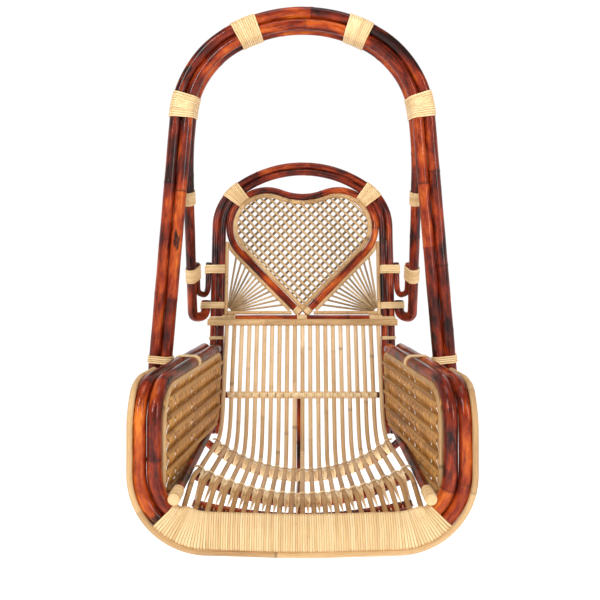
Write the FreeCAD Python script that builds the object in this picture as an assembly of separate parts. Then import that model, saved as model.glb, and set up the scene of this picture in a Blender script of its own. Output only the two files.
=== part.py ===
import FreeCAD, Part
import math
import os

V = FreeCAD.Vector

# Hanging swing chair of bent cane. Millimetres, +Z up, the front is -Y.
# The origin is the hang point: the underside of the inner arch cane at the crown.
# Pieces of the left side (-X) are made first and mirrored to the right.

# Clearance between pieces that are lashed or nailed together
GAP = 0.3

# Cane diameters
ARCH_CANE = 25.0
LEG_CANE = 23.0
HOOK_CANE = 14.0
HOOP_CANE = 17.0
ARM_CANE = 27.0
TRIM_CANE = 11.5
RAIL_CANE = 18.0
CROSS_CANE = 14.0
SPINE_CANE = 16.0
SLAT = 9.0
LATTICE_CANE = 5.2
FAN_RAY = 5.0
FAN_RAY_THICKNESS = 4.0
BORDER_CANE = 10.0
ROD = 8.5

# Peel that binds the canes: wide turns on the bundles, thin turns on the lashings
PEEL = 3.8
PEEL_PITCH = 4.8
LASH = 2.6
LASH_PITCH = 3.4
LEAST_TURN_GAP = 0.4
PEEL_SIDES = 6
LONGEST_TURN_ARC = 181.0

# Hanging arch, in the plane Y = 0: a crown arc, two shoulder arcs and leaning legs
ARCH_CROWN_RADIUS = 297.0
ARCH_CROWN_ANGLE = 30.0
ARCH_SHOULDER_RADIUS = 204.0
ARCH_LEG_LEAN = 4.9
ARCH_LEG_BELOW_ARM = 57.0
REAR_CANE_DROP = 4.0
ARCH_BINDING_TURNS = 11
CROWN_BINDING_ANGLE = 23.0
SHOULDER_BINDING_ANGLE = 79.5

# Rear hanger legs: they leave the arch, run back and hook round beside the posts
DIVERGE_ALONG_LEG = 85.0
DIVERGE_BEND = 190.0
SPLICE_FRACTION = 0.225
SPLICE_TURNS = 10
HOOK_LOW_RISE = 19.4
HOOK_OUT = 27.1
HOOK_FRONT = 32.9
HOOK_BEND = 16.0
HOOK_TIP_LENGTH = 39.0

# Brace hooks between hanger legs and posts
BRACE_TOP_FRACTION = 0.66
BRACE_SIDE_ANGLE = 37.0
BRACE_RUN = 80.0
BRACE_BEND = 26.0
BRACE_LOW_RISE = 69.0
BRACE_TIP_RISE = 153.0
BRACE_BINDING_TURNS = 8

# Reclined back, measured up from the cap rail and out from the middle of the posts
BACK_Y = 232.0
BACK_Z = -665.0
BACK_RECLINE = 11.5
HOOP_TOP = 404.5
HOOP_CROWN_RADIUS = 276.5
HOOP_CROWN_ANGLE = 37.5
HOOP_SHOULDER_RADIUS = 128.5
POST_BELOW_CAP = 262.0
HOOP_BINDING_TURNS = 10
HOOP_BINDING_ANGLE = 44.0
UPPER_POST_BINDING_RISE = 136.0
LOWER_POST_BINDING_RISE = 46.0
UPPER_POST_BINDING_TURNS = 5
LOWER_POST_BINDING_TURNS = 4

# Heart panel between the posts
HEART_DIP_SHARE = 0.81
HEART_TIP_ABOVE_RAIL = 6.3
BEAD_WIDTH = 10.0
BEAD_HEIGHT = 5.5
BEAD_BACK = 3.0
LATTICE_PITCH = 15.6
FAN_RAYS = 13
FAN_FIRST_ANGLE = 6.0
FAN_HUB_STEP = 3.3
FAN_POINT_RADIUS = 10.0
FAN_FULL_RADIUS = 46.0

# Cross rail and cap rail at the top of the slats
RAIL_RISE = 13.5
RAIL_BINDING_TURNS = 6
TIP_BINDING_TURNS = 8
CAP_RISE = 2.5
CAP_WIDTH = 16.0
CAP_HEIGHT = 7.0
CAP_OVERHANG = 4.0

# Slats and the canes under them: each seat line has its place, its height at the middle, its room
# beside the arms and its sag
SLATS = 21
SEAT_BEND = 70.0
MIDDLE_LINE_Y = 88.0
MIDDLE_LINE_DROP = 320.0
MIDDLE_SIDE_ROOM = 29.8
MIDDLE_SAG = 66.0
FRONT_LINE_Y = -130.0
FRONT_LINE_DROP = 303.0
FRONT_SIDE_ROOM = 47.3
FRONT_SAG = 53.0
SEAT_BREAK_Y = -168.0
SEAT_BREAK_BEND = 80.0
END_LINE_ABOVE_LOOP = 5.0
END_SIDE_ROOM = 62.1
END_SAG = 12.5
UNDER_CANE_SETBACKS = (15.0, 33.0)
END_TURN_SHARE = 0.6
BACK_LINE_RISE = -171.0
SPINE_OFFSET = 6.0
SPINE_END_Y = -160.0

# Side rails of the seat
SIDE_RAIL_ROOM = 9.8
SIDE_RAIL_FRONT_ANGLE = 53.0
SIDE_RAIL_LASH_TURNS = 5

# Arm loops: two canes from post to post, round the front
ARM_BELOW_CAP = 57.0
ARM_POST_INSET = 8.6
ARM_ARCH_ROOM = 4.4
ARM_FRONT_Y = -265.0
ARM_BEND = 70.0
LOOP_BEND = 100.0
LOOP_BELOW_CAP = 309.0
LOOP_BOW = 8.0
LOOP_BOW_BEND = 1500.0
ARM_SPACE = 0.9
ROLL_PEEL = 2.0
ROLL_END_ANGLE = 46.0
ROLL_TOP_CANE = 9.0
ROLL_TOP_ANGLE = 27.0
ROLL_SLAT_ROOM = 14.2
ARM_LASH_TURNS = 4
ARM_BAND_TURNS = 2
POST_LASH_TURNS = 3

# Trim cane round the outside of the arm loops
TRIM_START_Y = -17.0
TRIM_TURN_Y = -215.0
TRIM_TURN_BEND = 150.0
TRIM_FRONT_STEP = 14.0
TRIM_SIDE_STEP = 15.5
TRIM_FOOT_STEP = 11.5
TRIM_BEND = 62.0
TRIM_LOOP_BEND = 142.5

# Side panels
PANEL_INSET = 13.0
PANEL_ROOM = 3.4
PANEL_FRONT_BEND = 58.0
PANEL_BEND = 12.0
STRIP_WIDTH = 20.0
STRIP_PITCH = 23.0
STRIP_THICKNESS = 1.5
RODS = 8


# Places worked out from the sizes above

def radians(degrees):
    return math.radians(degrees)


def unit(vector):
    return V(vector).normalize()


def on_arch(x, drop, behind=0.0):
    """A point of the arch's plane, measured down from the inner cane's centre at the crown."""
    return V(x, behind, ARCH_CANE / 2 - drop)


RECLINE_UP = V(0, math.sin(radians(BACK_RECLINE)), math.cos(radians(BACK_RECLINE)))
RECLINE_FRONT = V(0, -math.cos(radians(BACK_RECLINE)), math.sin(radians(BACK_RECLINE)))


def on_back(x, rise, front=0.0):
    """A point of the reclined back, by its height above the cap rail and its place in front."""
    return V(x, BACK_Y, BACK_Z) + RECLINE_UP * rise + RECLINE_FRONT * front


def rise_at(z, front=0.0):
    """The height up the back at which a line in front of the posts reaches this level."""
    return (z - BACK_Z - RECLINE_FRONT.z * front) / RECLINE_UP.z


ARCH_STEP = ARCH_CANE + GAP
HOOP_STEP = HOOP_CANE + GAP
ARM_STEP = ARM_CANE + ARM_SPACE
LOBE_X = (HOOP_CROWN_RADIUS - HOOP_SHOULDER_RADIUS) * math.sin(radians(HOOP_CROWN_ANGLE))
POST_X = LOBE_X + HOOP_SHOULDER_RADIUS
INNER_POST_X = POST_X - HOOP_STEP
LOBE_RADIUS = HOOP_SHOULDER_RADIUS - 2 * HOOP_STEP
LOBE_RISE = HOOP_TOP - HOOP_CROWN_RADIUS
LOBE_RISE += (HOOP_CROWN_RADIUS - HOOP_SHOULDER_RADIUS) * math.cos(radians(HOOP_CROWN_ANGLE))
HEART_DIP_RISE = LOBE_RISE + HEART_DIP_SHARE * LOBE_RADIUS
HEART_DROP = LOBE_RISE - RAIL_RISE - HEART_TIP_ABOVE_RAIL
HEART_DIAGONAL_ANGLE = math.degrees(
    math.atan2(HEART_DROP, LOBE_X) - math.asin(LOBE_RADIUS / math.hypot(HEART_DROP, LOBE_X))
)
ARM_Z = BACK_Z - ARM_BELOW_CAP
LOOP_BOTTOM_Z = BACK_Z - LOOP_BELOW_CAP
MIDDLE_LINE_Z = BACK_Z - MIDDLE_LINE_DROP
FRONT_LINE_Z = BACK_Z - FRONT_LINE_DROP
END_LINE_Z = LOOP_BOTTOM_Z + END_LINE_ABOVE_LOOP
SLAT_TOP_HALF_WIDTH = POST_X - 2 * HOOP_STEP
SLAT_FRONT = HOOP_CANE / 2 + LASH + 2 * GAP + SLAT / 2
CROSS_STEP = (SLAT + CROSS_CANE) / 2 + GAP
ROLL_RADIUS = ARM_CANE / 2 + GAP + ROLL_PEEL
ROLL_TOP_STEP = (ARM_CANE + ROLL_TOP_CANE) / 2 + GAP
SEAT_END_Y = ARM_FRONT_Y + ROLL_SLAT_ROOM + GAP


def hook_side_x(diameter):
    """Middle of a hook end that lies along the outside of the left post."""
    return -(POST_X + (HOOP_CANE + diameter) / 2 + GAP)


HANGER_FOOT = on_back(hook_side_x(LEG_CANE), HOOK_LOW_RISE) - V(HOOK_OUT, HOOK_FRONT, 0)


# Basic shapes

def bent_edges(points, radii):
    """Straight runs joined by tangent arcs, with one radius for each inner point."""
    edges = []
    start = points[0]
    for before, corner, after, radius in zip(points, points[1:], points[2:], radii):
        come = unit(corner - before)
        leave = unit(after - corner)
        turn = come.getAngle(leave)
        reach = radius * math.tan(turn / 2)
        enter = corner - come * reach
        leave_at = corner + leave * reach
        middle = corner + unit(leave - come) * (radius / math.cos(turn / 2) - radius)
        if (enter - start).Length > 1e-6:
            edges.append(Part.LineSegment(start, enter).toShape())
        edges.append(Part.Arc(enter, middle, leave_at).toShape())
        start = leave_at
    if (points[-1] - start).Length > 1e-6:
        edges.append(Part.LineSegment(start, points[-1]).toShape())
    return edges


def start_of(wire):
    """First point and direction of a path."""
    edge = wire.OrderedEdges[0]
    if edge.Orientation == "Reversed":
        return edge.valueAt(edge.LastParameter), -edge.tangentAt(edge.LastParameter)
    return edge.valueAt(edge.FirstParameter), edge.tangentAt(edge.FirstParameter)


def tube(edges, diameter):
    """A round cane along a path."""
    wire = Part.Wire(edges)
    at, along = start_of(wire)
    ring = Part.Wire([Part.Circle(at, along, diameter / 2).toShape()])
    return wire.makePipeShell([ring], True, False)


def cane(points, radii, diameter):
    return tube(bent_edges(points, radii), diameter)


def rod(start, end, diameter):
    return Part.makeCylinder(diameter / 2, (end - start).Length, start, end - start)


def half_round(edges, width, height, front):
    """A split cane with its flat side on the path and its round side to the front."""
    wire = Part.Wire(edges)
    at, along = start_of(wire)
    side = along.cross(front).normalize() * (width / 2)
    arc = Part.Arc(at - side, at + front * height, at + side).toShape()
    back = Part.LineSegment(at + side, at - side).toShape()
    return wire.makePipeShell([Part.Wire([arc, back])], True, False)


def mirrored(shape):
    return shape.mirror(V(0, 0, 0), V(1, 0, 0))


def both_sides(shape):
    return Part.makeCompound([shape, mirrored(shape)])


# Peel windings

def hull_of(circles, margin):
    """Outline round circles (a, b, radius) given anticlockwise, as arcs (a, b, r, from, to)."""
    grown = [(a, b, r + margin) for a, b, r in circles]
    if len(grown) == 1:
        return [grown[0] + (0.0, 2 * math.pi)]
    normals = []
    for (a, b, r), (c, d, q) in zip(grown, grown[1:] + grown[:1]):
        heading = math.atan2(d - b, c - a)
        normals.append(heading - math.acos((r - q) / math.hypot(c - a, d - b)))
    arcs = []
    for circle, first, last in zip(grown, normals[-1:] + normals[:-1], normals):
        arcs.append(circle + (first, first + (last - first) % (2 * math.pi)))
    return arcs


def hull_knots(arcs):
    """Points of one turn with their directions and their way round, and the length of the turn."""
    knots = []
    way = 0.0
    for index, (a, b, r, first, last) in enumerate(arcs):
        pieces = max(1, math.ceil((last - first) / radians(LONGEST_TURN_ARC)))
        for piece in range(pieces + 1):
            angle = first + (last - first) * piece / pieces
            where = way + r * (angle - first)
            point = (a + r * math.cos(angle), b + r * math.sin(angle))
            knots.append((where, point, (-math.sin(angle), math.cos(angle))))
        way += r * (last - first)
        after = arcs[(index + 1) % len(arcs)]
        end = knots[-1][1]
        begin = (after[0] + after[2] * math.cos(after[3]), after[1] + after[2] * math.sin(after[3]))
        way += math.dist(end, begin)
    if len(arcs) == 1:
        knots.pop()
    return knots, way


def arc_from(start, heading, end):
    """The arc that leaves start along heading and reaches end, or a straight run."""
    chord = end - start
    angle = heading.getAngle(chord)
    if angle < 1e-4:
        return Part.LineSegment(start, end).toShape()
    aside = unit(heading - unit(chord) * heading.dot(unit(chord)))
    middle = (start + end) * 0.5 + aside * (chord.Length / 2 * math.tan(angle / 2))
    return Part.Arc(start, middle, end).toShape()


def biarc(start, heading, end, leaving):
    """Two arcs that join smoothly between two points with given directions."""
    chord = end - start
    both = heading + leaving
    square = 2 * (1 - heading.dot(leaving))
    along = chord.dot(both)
    if square < 1e-9:
        reach = chord.Length ** 2 / (2 * along)
    else:
        reach = (-along + math.sqrt(along ** 2 + square * chord.Length ** 2)) / square
    joint = (start + heading * reach + end - leaving * reach) * 0.5
    if heading.getAngle(chord) < 1e-4 and leaving.getAngle(chord) < 1e-4:
        return [Part.LineSegment(start, end).toShape()]
    first = arc_from(start, heading, joint)
    last = arc_from(end, -leaving, joint)
    return [first, last]


def peel_tube(points, headings, width):
    """One length of split peel, six-sided, through points with given directions."""
    edges = []
    for index in range(len(points) - 1):
        edges += biarc(points[index], headings[index], points[index + 1], headings[index + 1])
    wire = Part.Wire(edges)
    at, along = start_of(wire)
    aside = along.cross(V(along.y, along.z, along.x)).normalize()
    upward = along.cross(aside)
    ring = []
    for corner in range(PEEL_SIDES + 1):
        angle = 2 * math.pi * corner / PEEL_SIDES
        ring.append(at + (aside * math.cos(angle) + upward * math.sin(angle)) * (width / 2))
    return wire.makePipeShell([Part.makePolygon(ring)], True, False)


def report_turn_gap(name, points, diameter, per_turn):
    """Print the least gap between turns that are next to each other, measured on points."""
    least = min((points[i] - points[i + per_turn]).Length for i in range(len(points) - per_turn))
    print(f"{name}: least gap between turns {least - diameter:.2f} mm")
    if least - diameter < LEAST_TURN_GAP:
        raise ValueError(f"{name}: the turns touch")


def winding(name, frame, circles, turns, wire, pitch):
    """Peel wound round a bundle. frame(s) gives centre, the two section axes and the axis at s."""
    knots, length = hull_knots(hull_of(circles, GAP + wire / 2))
    points = []
    headings = []
    for turn in range(turns):
        for where, (a, b), (da, db) in knots:
            along = pitch * (turn + where / length - turns / 2)
            centre, first, second, axis = frame(along)
            points.append(centre + first * a + second * b)
            headings.append(unit(first * da + second * db + axis * (pitch / length)))
    report_turn_gap(name, points, wire, len(knots))
    return peel_tube(points, headings, wire)


def straight_frame(centre, axis, first):
    """Section frame along a straight bundle."""
    axis = unit(axis)
    first = unit(first - axis * first.dot(axis))
    second = axis.cross(first)
    return lambda s: (centre + axis * s, first, second, axis)


def arc_frame(centre, radius, angle, outward, upward, back):
    """Section frame along a bundle bent round an arc: first axis outward, second axis back."""
    def frame(s):
        turn = angle + s / radius
        first = outward * math.sin(turn) + upward * math.cos(turn)
        axis = outward * math.cos(turn) - upward * math.sin(turn)
        return centre + first * radius, first, back, axis
    return frame


# Hanging arch

def arch_corners(offset):
    """Crown and shoulder corners of one arch cane and the start of its leg, as (x, drop)."""
    crown = ARCH_CROWN_RADIUS + offset
    shoulder = ARCH_SHOULDER_RADIUS + offset
    slope = radians(ARCH_CROWN_ANGLE)
    turn = radians(90 - ARCH_CROWN_ANGLE - ARCH_LEG_LEAN)
    lean = radians(ARCH_LEG_LEAN)
    reach = shoulder * math.tan(turn / 2)
    apex = -offset - crown * (1 / math.cos(slope) - 1)
    run = crown * math.tan(slope) + reach
    corner = (run * math.cos(slope), apex + run * math.sin(slope))
    leg = (corner[0] + reach * math.sin(lean), corner[1] + reach * math.cos(lean))
    return apex, corner, leg


def leg_point(offset, along, behind=0.0):
    """A point of the left leg, measured along it from the end of the shoulder."""
    leg = arch_corners(offset)[2]
    lean = radians(ARCH_LEG_LEAN)
    return on_arch(-leg[0] - along * math.sin(lean), leg[1] + along * math.cos(lean), behind)


def leg_length_to(z):
    """Length of the inner leg from the shoulder down to a level."""
    return (leg_point(0, 0).z - z) / math.cos(radians(ARCH_LEG_LEAN))


def flipped(point):
    return V(-point.x, point.y, point.z)


def arch_cane(offset, behind, ends):
    """One cane of the arch with the given points on the way down its left leg."""
    apex, corner, _ = arch_corners(offset)
    left = ends + [on_arch(-corner[0], corner[1], behind)]
    points = left + [on_arch(0, apex, behind)] + [flipped(p) for p in reversed(left)]
    shoulder = ARCH_SHOULDER_RADIUS + offset
    bends = [DIVERGE_BEND] * (len(ends) - 1) + [shoulder]
    return cane(points, bends + [ARCH_CROWN_RADIUS + offset] + bends[::-1], ARCH_CANE)


ARCH_LEG_LENGTH = leg_length_to(ARM_Z - ARCH_LEG_BELOW_ARM)
DIVERGE_POINT = leg_point(-REAR_CANE_DROP, DIVERGE_ALONG_LEG, ARCH_STEP)
HANGER_AXIS = unit(HANGER_FOOT - DIVERGE_POINT)
HANGER_LENGTH = (HANGER_FOOT - DIVERGE_POINT).Length


def arm_rear_y():
    """Rear ends of the arms, just in front of the posts."""
    face = on_back(0, rise_at(ARM_Z - ARM_CANE / 2))
    return face.y - HOOP_CANE / 2 / math.cos(radians(BACK_RECLINE)) - 2 * GAP


def arm_x(y):
    """Middle of the inner arm cane across the chair: it runs from the post past the arch leg."""
    rear = POST_X - ARM_POST_INSET
    leg_face = -leg_point(0, leg_length_to(ARM_Z)).x - ARCH_CANE / 2 / math.cos(radians(ARCH_LEG_LEAN))
    beside = leg_face - ARM_ARCH_ROOM - ARM_CANE / 2 - ARM_STEP
    return rear + (beside - rear) * (arm_rear_y() - y) / arm_rear_y()


ARM_REAR_X = arm_x(arm_rear_y())
ARM_FRONT_X = arm_x(ARM_FRONT_Y)
MIDDLE_HALF_WIDTH = arm_x(MIDDLE_LINE_Y) - MIDDLE_SIDE_ROOM
FRONT_HALF_WIDTH = arm_x(FRONT_LINE_Y) - FRONT_SIDE_ROOM
END_HALF_WIDTH = arm_x(SEAT_END_Y) - END_SIDE_ROOM
SIDE_RAIL_MIDDLE_X = arm_x(MIDDLE_LINE_Y) - SIDE_RAIL_ROOM


def on_hanger(fraction):
    return DIVERGE_POINT + HANGER_AXIS * (HANGER_LENGTH * fraction)


def make_arch():
    outer = arch_cane(ARCH_STEP, 0.0, [leg_point(ARCH_STEP, ARCH_LEG_LENGTH)])
    inner = arch_cane(0.0, 0.0, [leg_point(0.0, ARCH_LEG_LENGTH)])
    rear = arch_cane(-REAR_CANE_DROP, ARCH_STEP, [on_hanger(SPLICE_FRACTION), DIVERGE_POINT])
    return {"arch_outer_cane": outer, "arch_inner_cane": inner, "arch_rear_cane": rear}


def make_arch_bindings():
    places = [(0, 0), (ARCH_STEP, 0), (-REAR_CANE_DROP, ARCH_STEP)]
    bundle = [(out, behind, ARCH_CANE / 2) for out, behind in places]
    crown_centre = on_arch(0, ARCH_CROWN_RADIUS)
    leg = arch_corners(0.0)[2]
    lean = radians(ARCH_LEG_LEAN)
    shoulder_x = -leg[0] + ARCH_SHOULDER_RADIUS * math.cos(lean)
    shoulder_drop = leg[1] + ARCH_SHOULDER_RADIUS * math.sin(lean)
    bends = [
        (crown_centre, ARCH_CROWN_RADIUS, CROWN_BINDING_ANGLE),
        (on_arch(shoulder_x, shoulder_drop), ARCH_SHOULDER_RADIUS, SHOULDER_BINDING_ANGLE),
    ]
    wound = []
    for centre, radius, angle in bends:
        frame = arc_frame(centre, radius, radians(angle), V(-1, 0, 0), V(0, 0, 1), V(0, 1, 0))
        wound.append(winding("arch binding", frame, bundle, ARCH_BINDING_TURNS, PEEL, PEEL_PITCH))
    return {"arch_bindings": both_sides(Part.makeCompound(wound))}


# Rear hangers

def brace_offset():
    """Step from the middle of the hanger leg to the brace that lies behind and inside it."""
    behind = HANGER_AXIS.cross(V(1, 0, 0))
    if behind.y < 0:
        behind = -behind
    turn = radians(BRACE_SIDE_ANGLE)
    aside = behind * math.cos(turn) + V(1, 0, 0) * math.sin(turn)
    aside = unit(aside - HANGER_AXIS * aside.dot(HANGER_AXIS))
    return aside * ((LEG_CANE + HOOK_CANE) / 2 + GAP)


def make_hangers():
    start = on_hanger(SPLICE_FRACTION) + HANGER_AXIS * GAP
    x = hook_side_x(LEG_CANE)
    low = on_back(x, HOOK_LOW_RISE)
    tip = on_back(x, HOOK_LOW_RISE + HOOK_TIP_LENGTH)
    leg = cane([start, HANGER_FOOT, low, tip], [HOOK_BEND, HOOK_BEND], LEG_CANE)
    top = on_hanger(BRACE_TOP_FRACTION) + brace_offset()
    turn = top + HANGER_AXIS * BRACE_RUN
    x = hook_side_x(HOOK_CANE)
    points = [top, turn, on_back(x, BRACE_LOW_RISE), on_back(x, BRACE_TIP_RISE)]
    brace = cane(points, [BRACE_BEND, BRACE_BEND], HOOK_CANE)
    return {
        "left_hanger_leg": leg,
        "right_hanger_leg": mirrored(leg),
        "left_brace_hook": brace,
        "right_brace_hook": mirrored(brace),
    }


def make_hanger_bindings():
    splice = straight_frame(on_hanger(SPLICE_FRACTION), HANGER_AXIS, V(1, 0, 0))
    single = [(0, 0, ARCH_CANE / 2)]
    splice_peel = winding("splice binding", splice, single, SPLICE_TURNS, PEEL, PEEL_PITCH)
    offset = brace_offset()
    half = BRACE_BINDING_TURNS * PEEL_PITCH / 2 + PEEL
    centre = on_hanger(BRACE_TOP_FRACTION) + HANGER_AXIS * half
    frame = straight_frame(centre, HANGER_AXIS, offset)
    pair = [(0, 0, LEG_CANE / 2), (offset.Length, 0, HOOK_CANE / 2)]
    brace_peel = winding("brace binding", frame, pair, BRACE_BINDING_TURNS, PEEL, PEEL_PITCH)
    return {
        "hanger_splice_bindings": both_sides(splice_peel),
        "brace_leg_bindings": both_sides(brace_peel),
    }


def post_binding(name, rise, turns, outer_x, outer_diameter, wire, pitch):
    """Peel round the left posts and what lies outside them."""
    frame = straight_frame(on_back(-INNER_POST_X, rise), RECLINE_UP, V(-1, 0, 0))
    row = [(0, 0, HOOP_CANE / 2), (-outer_x - INNER_POST_X, 0, outer_diameter / 2)]
    if outer_diameter < HOOP_CANE:
        outer_post = (HOOP_STEP, 0, HOOP_CANE / 2)
        row = [row[0], outer_post, row[1], outer_post]
    return winding(name, frame, row, turns, wire, pitch)


def make_post_bindings():
    upper = post_binding(
        "upper post binding", UPPER_POST_BINDING_RISE, UPPER_POST_BINDING_TURNS,
        hook_side_x(HOOK_CANE), HOOK_CANE, PEEL, PEEL_PITCH,
    )
    lower = post_binding(
        "lower post binding", LOWER_POST_BINDING_RISE, LOWER_POST_BINDING_TURNS,
        hook_side_x(LEG_CANE), LEG_CANE, PEEL, PEEL_PITCH,
    )
    return {"upper_post_bindings": both_sides(upper), "lower_post_bindings": both_sides(lower)}


# Back hoop, heart and fans

def hoop_cane(offset):
    """One cane of the hoop: posts, shoulder arcs and crown arc."""
    crown = HOOP_CROWN_RADIUS - offset
    shoulder = HOOP_SHOULDER_RADIUS - offset
    slope = radians(HOOP_CROWN_ANGLE)
    reach = shoulder * math.tan((math.pi / 2 - slope) / 2)
    apex = HOOP_TOP - offset + crown * (1 / math.cos(slope) - 1)
    run = crown * math.tan(slope) + reach
    left = [on_back(-POST_X + offset, -POST_BELOW_CAP)]
    left.append(on_back(-run * math.cos(slope), apex - run * math.sin(slope)))
    points = left + [on_back(0, apex)] + [flipped(p) for p in reversed(left)]
    return cane(points, [shoulder, crown, shoulder], HOOP_CANE)


def heart_half(inset, front, tip_cut):
    """Left half of the heart's line: diagonal from the tip, lobe and half of the dip."""
    lobe = LOBE_RADIUS - inset
    over = HEART_DIP_RISE - LOBE_RISE
    dip = (LOBE_X ** 2 + over ** 2 - LOBE_RADIUS ** 2) / (2 * (LOBE_RADIUS - over))
    toward = math.atan2(HEART_DIP_RISE + dip - LOBE_RISE, LOBE_X)
    slope = radians(HEART_DIAGONAL_ANGLE)
    angles = (1.5 * math.pi - slope, math.pi, toward)
    ring = []
    for angle in angles:
        ring.append(on_back(-LOBE_X + lobe * math.cos(angle), LOBE_RISE + lobe * math.sin(angle), front))
    run = (LOBE_X - lobe * math.cos(angles[0])) / math.cos(slope) - tip_cut
    foot = ring[0] + V(1, 0, 0) * (run * math.cos(slope)) - RECLINE_UP * (run * math.sin(slope))
    middle = (toward + math.pi / 2) / 2
    centre = HEART_DIP_RISE + dip
    low = dip + inset
    mid = on_back(-low * math.cos(middle), centre - low * math.sin(middle), front)
    end = on_back(0, centre - low, front)
    return [
        Part.LineSegment(foot, ring[0]).toShape(),
        Part.Arc(*ring).toShape(),
        Part.Arc(ring[2], mid, end).toShape(),
    ]


def heart_tip_rise(inset):
    """Height at which the heart's diagonals would meet."""
    slope = radians(HEART_DIAGONAL_ANGLE)
    lobe = LOBE_RADIUS - inset
    across = LOBE_X + lobe * math.sin(slope)
    return LOBE_RISE - lobe * math.cos(slope) - across * math.tan(slope)


def heart_area(inset, front, depth):
    """Solid inside the heart's line, from a plane in front of the back to a depth behind it."""
    half = heart_half(inset, front, 0.0)
    edges = half + [mirrored(edge) for edge in half]
    face = Part.Face(Part.Wire(Part.__sortEdges__(edges)))
    return face.extrude(RECLINE_FRONT * -depth)


HEART_INSIDE = HOOP_CANE / 2 + LASH + 2 * GAP
HEART_FOOT_CLEAR = RAIL_RISE + HOOP_CANE / 2 + LASH + 2 * GAP


def make_heart():
    slope = radians(HEART_DIAGONAL_ANGLE)
    foot_rise = HEART_FOOT_CLEAR + HOOP_CANE / 2 * math.cos(slope)
    tip_cut = (foot_rise - heart_tip_rise(0.0)) / math.sin(slope)
    half = heart_half(0.0, 0.0, tip_cut)
    frame = tube(Part.__sortEdges__(half + [mirrored(edge) for edge in half]), HOOP_CANE)
    inset = HEART_INSIDE + BEAD_WIDTH / 2
    line = heart_half(inset, BEAD_BACK, -BEAD_WIDTH)
    bead = half_round(line, BEAD_WIDTH, BEAD_HEIGHT, RECLINE_FRONT)
    side = 2 * POST_X
    keep = Part.makeBox(side, side, 2 * side, V(-side - GAP / 2, BACK_Y - side / 2, BACK_Z - side / 2))
    bead = bead.common(keep)
    shapes = {"heart_frame_cane": frame, "heart_bead": both_sides(bead)}
    shapes.update(make_lattice())
    return shapes


def make_lattice():
    """Two layers of thin canes at right angles, cut to the heart."""
    shapes = {}
    reach = 2 * (LOBE_X + LOBE_RADIUS)
    count = math.ceil(reach / LATTICE_PITCH)
    centre = (HEART_DIP_RISE + heart_tip_rise(HEART_INSIDE)) / 2
    front = BEAD_BACK - GAP - LATTICE_CANE / 2
    for name, tilt in (("heart_lattice_front", -1), ("heart_lattice_rear", 1)):
        area = heart_area(HEART_INSIDE, front + LATTICE_CANE, 2 * LATTICE_CANE)
        along = (V(1, 0, 0) + RECLINE_UP * tilt).normalize()
        aside = (V(1, 0, 0) - RECLINE_UP * tilt).normalize()
        bars = []
        for step in range(-count // 2, count // 2 + 1):
            middle = on_back(0, centre, front) + aside * (LATTICE_PITCH * (step + 0.5))
            bar = rod(middle - along * reach / 2, middle + along * reach / 2, LATTICE_CANE)
            cut = bar.common(area)
            bars += [solid for solid in cut.Solids if solid.Volume > LATTICE_CANE ** 3]
        shapes[name] = Part.makeCompound(bars)
        front -= LATTICE_CANE + GAP
    return shapes


FAN_INSET = (HOOP_CANE + BEAD_WIDTH) / 2 + GAP
FAN_SIDE_X = INNER_POST_X - FAN_INSET - PEEL - GAP
FAN_FOOT_RISE = HEART_FOOT_CLEAR + BEAD_WIDTH / 2


def fan_diagonal_x(rise):
    """Distance from the middle of the fan's diagonal strip at a height."""
    return (rise - heart_tip_rise(-FAN_INSET)) / math.tan(radians(HEART_DIAGONAL_ANGLE))


def fan_diagonal():
    slope = radians(HEART_DIAGONAL_ANGLE)
    lobe = LOBE_RADIUS + FAN_INSET
    first = math.pi / 2 - slope
    last = math.asin((FAN_SIDE_X - BEAD_WIDTH / 2 - GAP - LOBE_X) / (lobe + BEAD_WIDTH / 2))
    angles = (first, (first + last) / 2, last)
    ring = []
    for angle in angles:
        rise = LOBE_RISE - lobe * math.cos(angle)
        ring.append(on_back(-LOBE_X - lobe * math.sin(angle), rise, BEAD_BACK))
    foot = on_back(-fan_diagonal_x(FAN_FOOT_RISE), FAN_FOOT_RISE, BEAD_BACK)
    edges = [Part.LineSegment(foot, ring[0]).toShape(), Part.Arc(*ring).toShape()]
    return half_round(edges, BEAD_WIDTH, BEAD_HEIGHT, RECLINE_FRONT)


def fan_ray(angle):
    """One split strip from the lower outer corner to the diagonal, shaved to a point at the corner."""
    slope = math.tan(radians(HEART_DIAGONAL_ANGLE))
    hub_x = FAN_SIDE_X - FAN_HUB_STEP
    hub_rise = FAN_FOOT_RISE + FAN_HUB_STEP
    along = V(math.cos(angle), 0, 0) + RECLINE_UP * math.sin(angle)
    aside = V(-math.sin(angle), 0, 0) + RECLINE_UP * math.cos(angle)
    room = hub_x * slope + heart_tip_rise(-FAN_INSET) - hub_rise
    length = room / (math.sin(angle) + slope * math.cos(angle))
    hub = on_back(-hub_x, hub_rise, BEAD_BACK - GAP)
    point = FAN_RAY / 2 * FAN_POINT_RADIUS / FAN_FULL_RADIUS
    outline = [(FAN_POINT_RADIUS, point), (FAN_FULL_RADIUS, FAN_RAY / 2), (length, FAN_RAY / 2)]
    outline += [(reach, -half) for reach, half in reversed(outline)]
    corners = [hub + along * reach + aside * half for reach, half in outline]
    face = Part.Face(Part.makePolygon(corners + corners[:1]))
    return face.extrude(RECLINE_FRONT * -FAN_RAY_THICKNESS)


def straight_bead(start, end):
    return half_round([Part.LineSegment(start, end).toShape()], BEAD_WIDTH, BEAD_HEIGHT, RECLINE_FRONT)


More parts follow.
